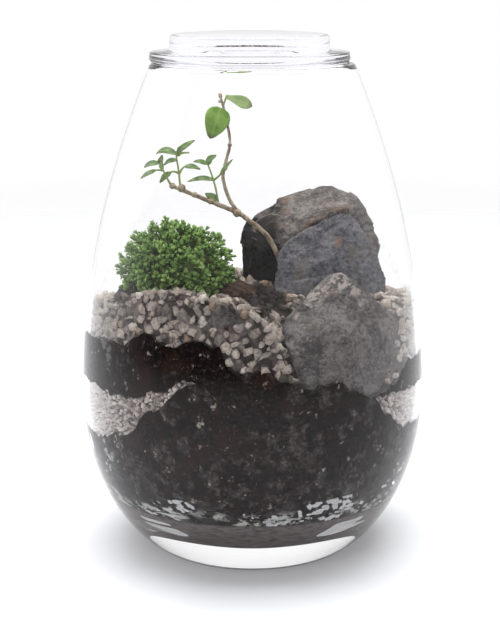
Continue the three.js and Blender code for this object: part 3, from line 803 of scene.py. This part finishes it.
def soil_body(name, below, wall_rows, seed):
    top, wall, under_side, ends = layer_rows(name, below, top_rings=12, wall_rows=wall_rows)
    wall = drawn_in(wall, soil_hollows(wall.reshape(-1, 3), seed))
    flat = top.reshape(-1, 3)
    crumbs, _ = cobbles(flat, 3.0, seed + 6)
    top[..., 2] += (1.2 * rough(flat, 12, seed + 7) + 0.8 * crumbs - 0.5).reshape(top.shape[:2])
    return ringed(ends[0], np.concatenate([top, wall, under_side]), ends[1])


def make_soils():
    body = soil_body("soil_lower", [], wall_rows=84, seed=11)
    look = soil_look("dark_soil", patch_level=0.52)
    add_piece("lower_soil", *body, look, "dark_soil", "soil_lower")
    body = soil_body("soil_upper", ["soil_lower", "gravel_band"], wall_rows=44, seed=23)
    look = soil_look("upper_dark_soil", patch_level=0.58)
    add_piece("upper_soil", *body, look, "dark_soil", "soil_upper")


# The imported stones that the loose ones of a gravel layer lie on, with a tint for each point.
def gravel_bed(name, below, width, seed, **rows):
    top, wall, under_side, ends = layer_rows(name, below, **rows)
    height, wall_tint = cobbles(wall.reshape(-1, 3), width, seed)
    wall = drawn_in(wall, 0.5 * width * (0.8 - height))
    height, top_tint = cobbles(top.reshape(-1, 3), width, seed)
    top[..., 2] += (0.5 * width * (height - 0.4)).reshape(top.shape[:2])
    points, faces = ringed(ends[0], np.concatenate([top, wall, under_side]), ends[1])
    tint = np.concatenate([[0.2], top_tint, wall_tint, np.full(under_side[..., 0].size, 0.2), [0.2]])
    # Painted shade: the bed's tint is kept at a third, dark as the gaps between the loose stones
    return points, faces, 0.34 * tint


# Angular crushed stones about one unit across, as hulls of random points with their faces dimpled.
def stone_shapes(count, corners, seed):
    rng = np.random.default_rng(seed)
    shapes = []
    for _ in range(count):
        spread = unit(rng.normal(size=(corners, 3))) * rng.uniform(0.82, 1.0, (corners, 1))
        spread *= 0.5 * np.array([1.0, rng.uniform(0.68, 0.9), rng.uniform(0.5, 0.75)])
        body = bmesh.new()
        for corner in spread:
            body.verts.new(corner)
        hull = bmesh.ops.convex_hull(body, input=body.verts)
        loose = set(hull["geom_interior"]) | set(hull["geom_unused"])
        loose = [item for item in loose if isinstance(item, bmesh.types.BMVert) and item.is_valid]
        bmesh.ops.delete(body, geom=loose, context="VERTS")
        bmesh.ops.subdivide_edges(body, edges=body.edges, cuts=1, use_grid_fill=True, smooth=0.2)
        bmesh.ops.triangulate(body, faces=body.faces)
        body.verts.index_update()
        points = np.array([vert.co for vert in body.verts])
        faces = np.array([[vert.index for vert in face.verts] for face in body.faces])
        body.free()
        points += 0.035 * rng.normal(size=points.shape)
        shapes.append((points, facing_out(points, faces)))
    return shapes


# Goes through the candidates and keeps each one that is far enough from those kept before it.
def spread_out(points, sizes, closeness):
    kept = np.zeros(len(points), bool)
    for i in range(len(points)):
        others = np.flatnonzero(kept)
        distance = np.linalg.norm(points[others] - points[i], axis=1)
        kept[i] = np.all(distance > closeness * 0.5 * (sizes[others] + sizes[i]))
    return kept


# How clear of painted shade the gravel is: hardly at all in the dark hollow in front of the back rock.
def clear_of_painted_shade(points):
    across = np.hypot(points[:, 0] - 6, (points[:, 1] + 42) / 2.8)
    return np.maximum(smoothstep(10, 19, across), smoothstep(153, 148, points[:, 2]))


# Adds stones at the given places, pressed to the glass where they reach it. Those at the sides are paler.
def add_stones(gravel, shapes, places, sizes, rng):
    for (points, faces), place, size in zip(itertools.cycle(shapes), places, sizes):
        stone = (points * size) @ turned(rng).T + place
        aside = smoothstep(45, 70, abs(math.degrees(math.atan2(place[0], -place[1]))))
        tint = mixed(0.12 + 0.88 * rng.beta(2.0, 2.0), 0.95, 0.75 * aside)
        gravel.add(pressed_to_glass(stone), faces, tint=tint, warm=float(rng.random() < 0.07))


# Whether each point lies inside one of the closed nodes: a line from it then meets a face from behind.
def buried(points, nodes):
    trees = []
    for node in nodes:
        corners, faces = node_mesh(node)
        trees.append(BVHTree.FromPolygons(corners.tolist(), faces.tolist()))
    hidden = np.zeros(len(points), bool)
    direction = Vector((0.13, 0.21, 0.97)).normalized()
    for i, point in enumerate(points):
        normals = [tree.ray_cast(Vector(point), direction)[1] for tree in trees]
        hidden[i] = any(normal is not None and normal.dot(direction) > 0 for normal in normals)
    return hidden


def top_candidates(name, below, sizes, rng):
    azimuth = rng.uniform(-180, 180, len(sizes))
    places = placed(azimuth, 97 * np.sqrt(rng.random(len(sizes))), 0.0)
    ground = layer_height(name, places[:, 0], places[:, 1])
    base = highest(below, places[:, 0], places[:, 1])
    places[:, 2] = ground - 0.15 * sizes
    inside = np.hypot(places[:, 0], places[:, 1]) < cavity_radius(ground) - 0.3 * sizes
    good = (ground - base > 0.5) & inside
    return places[good], sizes[good]


def wall_candidates(name, below, sizes, rng):
    azimuth = rng.uniform(-180, 180, len(sizes))
    high = edge_height(name, azimuth)
    low = highest_edge(below, azimuth)
    height = mixed(low, high - 0.1 * sizes, rng.random(len(sizes)))
    places = placed(azimuth, cavity_radius(height) - 0.37 * sizes, height)
    good = (high - low > 0.5) & (rng.random(len(sizes)) < (high - low) / 40)
    return places[good], sizes[good]


def make_gravel(name, node, slot, look, below, smallest, largest, at_glass, on_top, seed, **bed):
    rng = np.random.default_rng(seed)
    wall_sizes, top_sizes = (
        smallest + (largest - smallest) * rng.random(count) ** 1.6 for count in (at_glass, on_top))
    wall_places, wall_sizes = wall_candidates(node, below, wall_sizes, rng)
    top_places, top_sizes = top_candidates(node, below, top_sizes, rng)
    places = np.concatenate([wall_places, top_places])
    sizes = np.concatenate([wall_sizes, top_sizes])
    order = np.argsort(-sizes * rng.uniform(0.7, 1.0, len(sizes)))
    places, sizes = places[order], sizes[order]
    kept = spread_out(places, sizes, closeness=0.54)
    places, sizes = places[kept], sizes[kept]
    clear = ~buried(places, [*ROCKS, "root_ball"])
    gravel = Gathered("tint", "warm")
    points, faces, tint = gravel_bed(node, below, seed=seed + 2, **bed)
    gravel.add(points, faces, tint=tint)
    shapes = stone_shapes(count=12, corners=13, seed=seed + 1)
    add_stones(gravel, shapes, places[clear], sizes[clear], rng)
    points, faces, marks = gravel.put_together()
    # Painted shade: the gravel in the hollow in front of the back rock is darkened to a tenth
    marks["tint"] = marks["tint"] * mixed(0.1, 1.0, clear_of_painted_shade(points))
    add_piece(name, points, faces, look, slot, node, **marks)


def make_gravels():
    look = gravel_look("pale_gravel_grains", (96, 84, 78), (172, 158, 149), (222, 210, 202))
    make_gravel("pale_gravel", "gravel_band", "pale_gravel", look, ["soil_lower"], smallest=2.6, largest=5.0,
                at_glass=14000, on_top=200, seed=41, width=3.0, inset=1.8, lowered=0.6, top_rings=8,
                wall_rows=14)
    look = gravel_look("grey_gravel_stones", (88, 80, 76), (158, 147, 139), (190, 178, 167))
    make_gravel("top_gravel", "gravel_top", "grey_gravel", look, ["soil_lower", "gravel_band", "soil_upper"],
                smallest=5.0, largest=10.8, at_glass=9000, on_top=6000, seed=43, width=4.5, inset=2.4,
                lowered=1.8, top_rings=30, wall_rows=16)


# Rocks and dark stones

# Chips are a number and the deepest cut. Layering is its direction, the thickness of a layer and the depth of
# a step. A look is a name, three colours from dark to pale, one for its stains and the turn of its grain.
ROCKS = {
    "rock_back": {
        "piece": "back_rock", "slot": "grey_rock", "voxel": 1.1, "chips": (46, 3.5), "seed": 31,
        "layering": ((0.25, -0.35, 1), 6.5, 1.1),
        "look": ("brown_grey_slate", (62, 58, 56), (101, 96, 93), (138, 132, 126), (134, 108, 90),
                 (0, 25, 10)),
    },
    "rock_middle": {
        "piece": "middle_rock", "slot": "blue_rock", "voxel": 1.0, "chips": (30, 2.0), "seed": 32,
        "layering": ((-0.5, 0.5, 1), 5.0, 0.5),
        "look": ("blue_grey_slate", (70, 69, 73), (101, 100, 105), (130, 128, 132), (108, 102, 92),
                 (0, 40, 0)),
        "spots": [(49, -16, 183, 3.4)],
    },
    "rock_front": {
        "piece": "front_rock", "slot": "grey_rock", "voxel": 1.0, "chips": (44, 3.0), "seed": 33,
        "layering": ((1, 0.4, 0.3), 6.0, 0.8),
        "look": ("crusted_slate", (66, 63, 63), (98, 94, 93), (130, 125, 122), (104, 94, 88), (10, 65, 0)),
        "crusts": [(52, -50, 174, 8), (47, -50, 167, 9), (54, -50, 163, 8), (38, -52, 162, 7),
                   (33, -55, 158, 7), (54, -54, 151, 7), (42, -58, 149, 7), (45, -60, 141, 6),
                   (26, -60, 149, 5), (62, -56, 156, 6)],
    },
    "stone_left": {
        "piece": "dark_stone", "slot": "dark_rock", "voxel": 0.9, "chips": (14, 1.2), "seed": 34,
        "layering": ((0, 0, 1), 4.0, 0.4),
        "look": ("dark_stone", (32, 29, 28), (52, 48, 46), (78, 72, 68), (66, 54, 46), (0, 0, 0)),
    },
    "stone_front": {
        "piece": "stone_at_glass", "slot": "dark_rock", "voxel": 0.8, "chips": (14, 2.2), "seed": 35,
        "layering": ((0.3, 0, 1), 4.0, 0.6),
        "look": ("glass_side_stone", (44, 41, 40), (76, 72, 70), (112, 106, 102), (84, 70, 60), (0, 20, 0)),
    },
}


# Cuts flat chips off the edges and corners of a body.
def chipped(points, count, deepest, seed):
    rng = np.random.default_rng(seed)
    for direction in unit(rng.normal(size=(count, 3))):
        reach = points @ direction
        limit = reach.max() - deepest * rng.random() ** 1.5
        points = points - np.outer(np.maximum(reach - limit, 0), direction)
    return points


def rock_body(node, voxel, chips, layering, seed):
    points, faces = reskinned(*node_mesh(node), voxel, smoothing=3)
    points = chipped(points, *chips, seed)
    direction, thickness, depth = layering
    along = points @ unit(direction) + 2.5 * noise(points, 24, seed + 1)
    step = (along / thickness) % 1
    strength = smoothstep(-0.2, 0.5, noise(points, 17, seed + 2))
    relief = 0.10 * facets(points, 19, seed + 3) + 0.06 * facets(points, 6.5, seed + 4)
    relief += 0.12 * rough(points, 3.6, seed + 8, 2) - depth * strength * step
    return pressed_to_glass(raised(points, faces, relief - 0.4)), faces


# A mark that is 1 in the middle of each of the spots and fades to 0 at its reach.
def near(points, spots):
    mark = np.zeros(len(points))
    for x, y, z, reach in spots:
        distance = np.linalg.norm(points - (x, y, z), axis=1)
        mark = np.maximum(mark, 1 - smoothstep(0.5 * reach, reach, distance))
    return mark


def make_rocks():
    for node, rock in ROCKS.items():
        points, faces = rock_body(node, rock["voxel"], rock["chips"], rock["layering"], rock["seed"])
        shade = np.zeros(len(points))
        # The back rock's face towards the front and left gets a painted shade, as if it lay in shadow
        if node == "rock_back":
            normals = point_normals(points, faces)
            shade = smoothstep(0.15, 0.5, -normals[:, 1]) * smoothstep(20, 12, points[:, 0])
        add_piece(rock["piece"], points, faces, slate_look(*rock["look"]), rock["slot"], node, shade=shade,
                  crust=near(points, rock.get("crusts", [])), spot=near(points, rock.get("spots", [])))


def make_root_ball():
    points, faces = reskinned(*node_mesh("root_ball"), voxel=1.2, smoothing=6)
    relief = 2.2 * rough(points, 11, 51, 4) + 0.7 * rough(points, 2.4, 57, 2)
    points = raised(points, faces, relief - 0.3)
    add_piece("roots", points, faces, root_look(), "roots", "root_ball")


# The cushion plant

# A fan-shaped leaflet one unit long with three lobes, thin and closed, rising along +Z.
def leaflet():
    outline = [(-0.05, 0.0), (0.05, 0.0), (0.30, 0.55), (0.44, 0.88), (0.16, 0.78), (0.10, 1.0),
               (-0.10, 1.0), (-0.16, 0.78), (-0.44, 0.88), (-0.30, 0.55)]
    x, z = np.array(outline).T
    cup = 0.35 * x * x + 0.12 * z * z
    thick = 0.035
    front = np.stack([x, -cup - thick, z], -1)
    back = np.stack([x, -cup + thick, z], -1)
    middles = [(0, -0.03 - thick * 1.4, 0.58), (0, -0.03 + thick * 1.4, 0.58)]
    points = np.concatenate([front, back, middles])
    count = len(outline)
    here = np.arange(count)
    after = (here + 1) % count
    faces = np.concatenate([
        triangles(2 * count, here, after), triangles(2 * count + 1, count + after, count + here),
        triangles(here, count + here, count + after), triangles(here, count + after, after)])
    return points, facing_out(points, faces)


# Three directions at right angles, the last of them the one given.
def axes_along(direction, rng):
    up = unit(direction)
    side = unit(np.cross(up, rng.normal(size=3)))
    return np.stack([side, np.cross(up, side), up])


def cushion_outline(direction):
    swell = 0.96 + 0.10 * noise(direction * 10, 5.5, 71) + 0.06 * noise(direction * 10, 2.2, 72)
    return np.array(CUSHION.radii) * direction * swell[:, None]


def sprig_stem(start, end, radius):
    along = end - start
    side, other, _ = axes_along(along, np.random.default_rng(1))
    rings = [circle(start + along * share, radius * thick, side, other, 4)
             for share, thick in ((0.0, 1.0), (0.5, 0.9), (1.0, 0.6))]
    return ringed(start - along * 0.01, rings, end + along * 0.01)


# Where sprigs end, spread evenly over the cushion, and the way each of them faces.
def sprig_ends(count, rng):
    golden = math.pi * (3 - math.sqrt(5))
    number = np.arange(count)
    rise = mixed(1.0, -0.55, (number + 0.5) / count)
    turn = golden * number + rng.uniform(-0.2, 0.2, count)
    ring = np.sqrt(1 - rise * rise)
    directions = unit(np.stack([ring * np.cos(turn), ring * np.sin(turn), rise], -1))
    left = smoothstep(0.5, 0.9, -directions[:, :1])
    reach = mixed(0.70, 1.02 + 0.06 * left, rng.random((count, 1)) ** 1.2)
    return directions, cushion_outline(directions) * reach + CUSHION.centre


# A sprig's leaflets: three upright ones in its middle and four spread round them, a little lower.
def add_leaflets(plant, shape, end, direction, rng):
    points, faces = shape
    lean = unit(direction + (0, 0, 0.35) + 0.25 * rng.normal(size=3))
    axes = axes_along(lean, rng)
    bright = rng.uniform(-0.18, 0.18)
    for k in range(7):
        inner = k < 3
        around = 2.4 * k + rng.uniform(-0.3, 0.3)
        tilt = rng.uniform(0.15, 0.5) if inner else rng.uniform(0.7, 1.2)
        long = rng.uniform(2.6, 3.4) if inner else rng.uniform(3.0, 4.2)
        out = math.cos(around) * axes[0] + math.sin(around) * axes[1]
        along = unit(math.cos(tilt) * axes[2] + math.sin(tilt) * out)
        face = unit(math.sin(tilt) * axes[2] - math.cos(tilt) * out)
        matrix = np.stack([np.cross(face, along), -face, along])
        base = end - axes[2] * (0.0 if inner else rng.uniform(0.5, 3.4))
        level = 0.62 + bright + rng.uniform(-0.2, 0.2) + (0.15 if inner else 0.0)
        fade = 0.3 + 0.7 * np.clip(points[:, 2], 0, 1)
        leaf_points = base + (points * long * (0.78, 1, 1)) @ matrix
        plant.add(leaf_points, faces, tint=np.clip(level * fade, 0, 1))


# The dark, lumpy middle of the cushion, which its sprigs grow from.
def cushion_core():
    turn = turns(48)
    rows = []
    for angle in np.linspace(0, math.pi, 26)[1:-1]:
        ring = np.stack([math.sin(angle) * np.cos(turn), math.sin(angle) * np.sin(turn),
                         np.full(len(turn), math.cos(angle))], -1)
        rows.append(0.70 * cushion_outline(ring) + CUSHION.centre)
    points, faces = ringed(rows[0].mean(0), rows, rows[-1].mean(0))
    points += (1.6 * rough(points, 5, 75, 3))[:, None] * unit(points - CUSHION.centre)
    return points, faces


def make_cushion():
    rng = np.random.default_rng(7)
    sprigs, stem_radius, clear_of_glass = 640, 0.35, 0.4
    shape = leaflet()
    directions, ends = sprig_ends(sprigs, rng)
    ground = highest(list(LAYER_EDGES), ends[:, 0], ends[:, 1])
    plant = Gathered("tint", "stem")
    for direction, end, floor in zip(directions, ends, ground):
        if end[2] >= floor + 1:
            start = mixed(np.array(CUSHION.centre), end, 0.45)
            plant.add(*sprig_stem(start, end, stem_radius), tint=0.2, stem=1.0)
            add_leaflets(plant, shape, end, direction, rng)
    plant.add(*cushion_core(), tint=0.05, stem=0.5)
    points, faces, marks = plant.put_together()
    points = pressed_to_glass(points, -clear_of_glass)
    add_piece("cushion", points, faces, cushion_look(), "cushion_green", "cushion_plant", **marks)


# The twig and its shoots

# Points along a smooth curve through the given ones, evenly spaced.
def smooth_path(points, steps):
    points = np.asarray(points, float)
    padded = np.concatenate([[2 * points[0] - points[1]], points, [2 * points[-1] - points[-2]]])
    dense = []
    for a, b, c, d in zip(padded, padded[1:], padded[2:], padded[3:]):
        for t in np.linspace(0, 1, 24, endpoint=False):
            dense.append(0.5 * (2 * b + (c - a) * t + (2 * a - 5 * b + 4 * c - d) * t * t
                                + (3 * b - a - 3 * c + d) * t ** 3))
    dense = np.array(dense + [points[-1]])
    length = np.concatenate([[0], np.cumsum(np.linalg.norm(np.diff(dense, axis=0), axis=1))])
    even = np.linspace(0, length[-1], steps)
    return np.stack([np.interp(even, length, dense[:, k]) for k in range(3)], -1)


# A round limb along a path, with a radius for each of its points.
def limb(path, radii, sides):
    along = unit(np.gradient(path, axis=0))
    side = unit(np.cross(along[0], (0.3, 0.9, 0.2)))
    rows = []
    for centre, direction, radius in zip(path, along, radii):
        side = unit(side - direction * (side @ direction))
        other = np.cross(direction, side)
        rows.append(circle(centre, radius, side, other, sides))
    return ringed(path[0] - along[0] * radii[0] * 0.3, rows, path[-1] + along[-1] * radii[-1] * 0.4)


def ball(x, y, z, radius):
    angle = np.linspace(0, math.pi, 10)
    points, faces = lathe(np.stack([radius * np.sin(angle), -radius * np.cos(angle)], -1), 14)
    return points + (x, y, z), faces


def make_twig():
    meshes = []
    for points, ends in TWIG_PARTS:
        path = smooth_path(points, 70)
        radii = 0.82 * mixed(*ends, np.linspace(0, 1, len(path))) * (1 + 0.14 * rough(path, 7, 81, 2))
        meshes.append(limb(path, radii, 14))
    meshes += [ball(*lump) for lump in TWIG_KNOTS + BUDS]
    points, faces = reskinned(*joined(meshes), voxel=0.34, smoothing=2)
    points = raised(points, faces, 0.22 * rough(points, 3.2, 83, 3) + 0.10 * noise(points, 0.9, 87))
    add_piece("bare_twig", points, faces, bark_look(), "bark", "twig", bud=near(points, BUDS))


# Triangles of a closed sheet: an upper grid, a lower grid and the edge between them.
def sheet_faces(rows, columns):
    grid = np.arange(rows * columns).reshape(rows, columns)
    a, b, c, d = grid[:-1, :-1], grid[:-1, 1:], grid[1:, 1:], grid[1:, :-1]
    upper = np.concatenate([triangles(a, b, c), triangles(a, c, d)])
    border = np.concatenate([grid[0, :-1], grid[:-1, -1], grid[-1, :0:-1], grid[:0:-1, 0]])
    after = np.roll(border, -1)
    under = rows * columns
    return np.concatenate([upper, upper[:, ::-1] + under, triangles(after, border, border + under),
                           triangles(after, border + under, after + under)])


# A thin leaf, folded along its rib, arched and slightly waved, with marks for its veins and tip.
def leaf(start, end, width, facing, arch, seed, widest):
    rows, columns = 17, 11
    start, end = np.array(start, float), np.array(end, float)
    length = np.linalg.norm(end - start)
    along = (end - start) / length
    across = unit(np.cross(facing, along))
    out = np.cross(along, across)
    t = np.linspace(0, 1, rows)[:, None]
    side = np.linspace(-1, 1, columns)[None, :]
    power = math.log(0.5) / math.log(widest)
    sweep = np.sin(math.pi * np.minimum(1, 0.06 + 0.94 * t ** power)) ** 0.8
    half = 0.5 * width * (0.10 + 0.90 * sweep) * np.where(t > 0.97, 0.35, 1)
    lift = arch * np.sin(math.pi * t) + 0.14 * half * np.abs(side) ** 1.3
    lift = lift + 0.03 * width * np.sin(9 * t + seed) * side ** 2
    vein_lines = np.abs(((t * 6.5 - np.abs(side) * 1.6) % 1) - 0.5) * 2
    vein = np.maximum(smoothstep(0.14, 0.02, np.abs(side) + 0 * t), 0.7 * smoothstep(0.75, 1.0, vein_lines))
    lift = lift - 0.05 * vein
    middle = start + (t * length)[..., None] * along + (side * half)[..., None] * across
    middle = middle + lift[..., None] * out
    thick = mixed(0.22, 0.08, np.abs(side) ** 2 * np.ones_like(t))[..., None]
    points = np.concatenate([(middle + thick * out).reshape(-1, 3), (middle - thick * out).reshape(-1, 3)])
    tip = smoothstep(0.78, 0.98, t) + 0 * side
    marks = {"vein": np.tile(vein.ravel(), 2), "tip": np.tile(tip.ravel(), 2)}
    return points, facing_out(points, sheet_faces(rows, columns)), marks


def make_shoots():
    look = leaf_look()
    for number, (node, shoot) in enumerate(SHOOTS.items()):
        old = 0.0 if node in WIDEST else 1.0
        marks = {"old": old, "pale": float(node == "shoot_crown")}
        shoots = Gathered("vein", "tip", "stem", "old", "pale")
        for stem in shoot["stems"]:
            path = smooth_path(stem, 14)
            radii = mixed(0.7, 0.42, np.linspace(0, 1, len(path))) * (1 + 0.15 * rough(path, 3, 91, 2))
            shoots.add(*limb(path, radii, 8), stem=1.0, **marks)
        for k, (start, end, width, facing, arch) in enumerate(shoot["leaves"]):
            width *= 1 - 0.14 * old
            points, faces, own = leaf(start, end, width, facing, arch, k + number, WIDEST.get(node, 0.42))
            shoots.add(points, faces, **own, **marks)
        points, faces, all_marks = shoots.put_together()
        add_piece(node.replace("shoot", "leaves"), points, faces, look, "leaf_green", node, **all_marks)


# Floor, light and camera

def make_floor():
    radius, sides = 2200, 48
    middle, right, back = np.zeros(3), np.array([1, 0, 0]), np.array([0, 1, 0])
    points = np.concatenate([[middle], circle(middle, radius, right, back, sides)])
    here = np.arange(sides)
    floor = add_object("floor", points, triangles(0, 1 + here, 1 + (here + 1) % sides))
    look = Look("pale_floor", {"Specular IOR Level": 0.3})
    pale = look.ramp(look.noise(90, 3), {0.3: (240, 241, 245), 0.7: (246, 247, 250)})
    look.drive(**{"Base Color": pale})
    look.vary_roughness(look.noise(40, 2), 0.45, 0.6)
    distance = look.node("ShaderNodeVectorMath", {0: look.place}, operation="LENGTH").outputs["Value"]
    look.clear([look.span(distance, 0.35, 1.6)])
    floor.data.materials.append(look.material)


# How bright the surroundings are in front and behind, as the glass mirrors them and as seen through it, and
# how much of the light from overhead reaches matt surfaces
FRONT_MIRRORED = 0.10
FRONT_SEEN_THROUGH = 0.9
BACK_MIRRORED = 0.84
BACK_SEEN_THROUGH = 1.07
OVERHEAD = 0.6


# White all round for the camera. What the glass mirrors is white behind and dim in front, as in a dark room
# with a lit backdrop, and less dim in front for what is seen through the glass.
def make_world():
    world = bpy.data.worlds.new("studio")
    bpy.context.scene.world = world
    world.use_nodes = True
    sky = Nodes(world.node_tree)
    direction = sky.node("ShaderNodeTexCoord").outputs["Generated"]
    path = sky.node("ShaderNodeLightPath").outputs
    through = path["Is Transmission Ray"]
    not_mirrored = sky.math("MAXIMUM", through, path["Is Diffuse Ray"])
    front = sky.math("MULTIPLY_ADD", through, FRONT_SEEN_THROUGH - FRONT_MIRRORED, FRONT_MIRRORED)
    back = sky.math("MULTIPLY_ADD", not_mirrored, BACK_SEEN_THROUGH - BACK_MIRRORED, BACK_MIRRORED)
    level = sky.span(sky.part(direction, "Y"), -0.5, 0.4, front, back)
    overhead_share = sky.math("MULTIPLY_ADD", path["Is Diffuse Ray"], OVERHEAD, through)
    overhead = sky.times(sky.span(sky.part(direction, "Z"), 0.1, 0.5), overhead_share)
    seen = sky.math("MAXIMUM", sky.math("MAXIMUM", level, overhead), path["Is Camera Ray"])
    background = sky.tree.nodes["Background"].inputs
    sky.fill(background["Strength"], seen)
    sky.fill(background["Color"], (1, 1, 1, 1))


def add_softbox(name, place, target, size, watts):
    lamp = bpy.data.lights.new(name, "AREA")
    lamp.energy = watts
    lamp.size = size
    softbox = bpy.data.objects.new(name, lamp)
    softbox.location = place
    softbox.rotation_euler = (Vector(target) - Vector(place)).to_track_quat("-Z", "Y").to_euler()
    softbox.visible_glossy = False
    softbox.visible_transmission = False
    bpy.context.scene.collection.objects.link(softbox)


def make_lights():
    add_softbox("top_light", place=(0, 0.1, 1.2), target=(0, 0, 0.1), size=1.1, watts=18)
    add_softbox("front_light", place=(-0.35, -1.1, 0.9), target=(0, 0, 0.12), size=0.7, watts=5.5)


# The camera as fitted to the jar's outline in the photo, looking a little down.
def make_camera():
    photo_height = 631
    focal_pixels = 1477
    place = (-0.00145, -0.849, 0.343)
    looking_down = math.radians(13.69)
    data = bpy.data.cameras.new("camera")
    data.sensor_width = 36
    data.lens = focal_pixels / photo_height * data.sensor_width
    data.clip_start = 0.01
    camera = bpy.data.objects.new("camera", data)
    camera.location = place
    camera.rotation_euler = (math.pi / 2 - looking_down, 0, 0)
    bpy.context.scene.collection.objects.link(camera)
    bpy.context.scene.camera = camera


def set_light_paths():
    bpy.context.scene.view_settings.view_transform = "Standard"
    settings = {"max_bounces": 16, "transmission_bounces": 16, "transparent_max_bounces": 16,
                "glossy_bounces": 8, "caustics_refractive": False, "caustics_reflective": False}
    for name, value in settings.items():
        setattr(bpy.context.scene.cycles, name, value)


make_camera()
make_world()
make_lights()
make_floor()
make_glass()
make_soils()
make_gravels()
make_rocks()
make_root_ball()
make_cushion()
make_twig()
make_shoots()
set_light_paths()
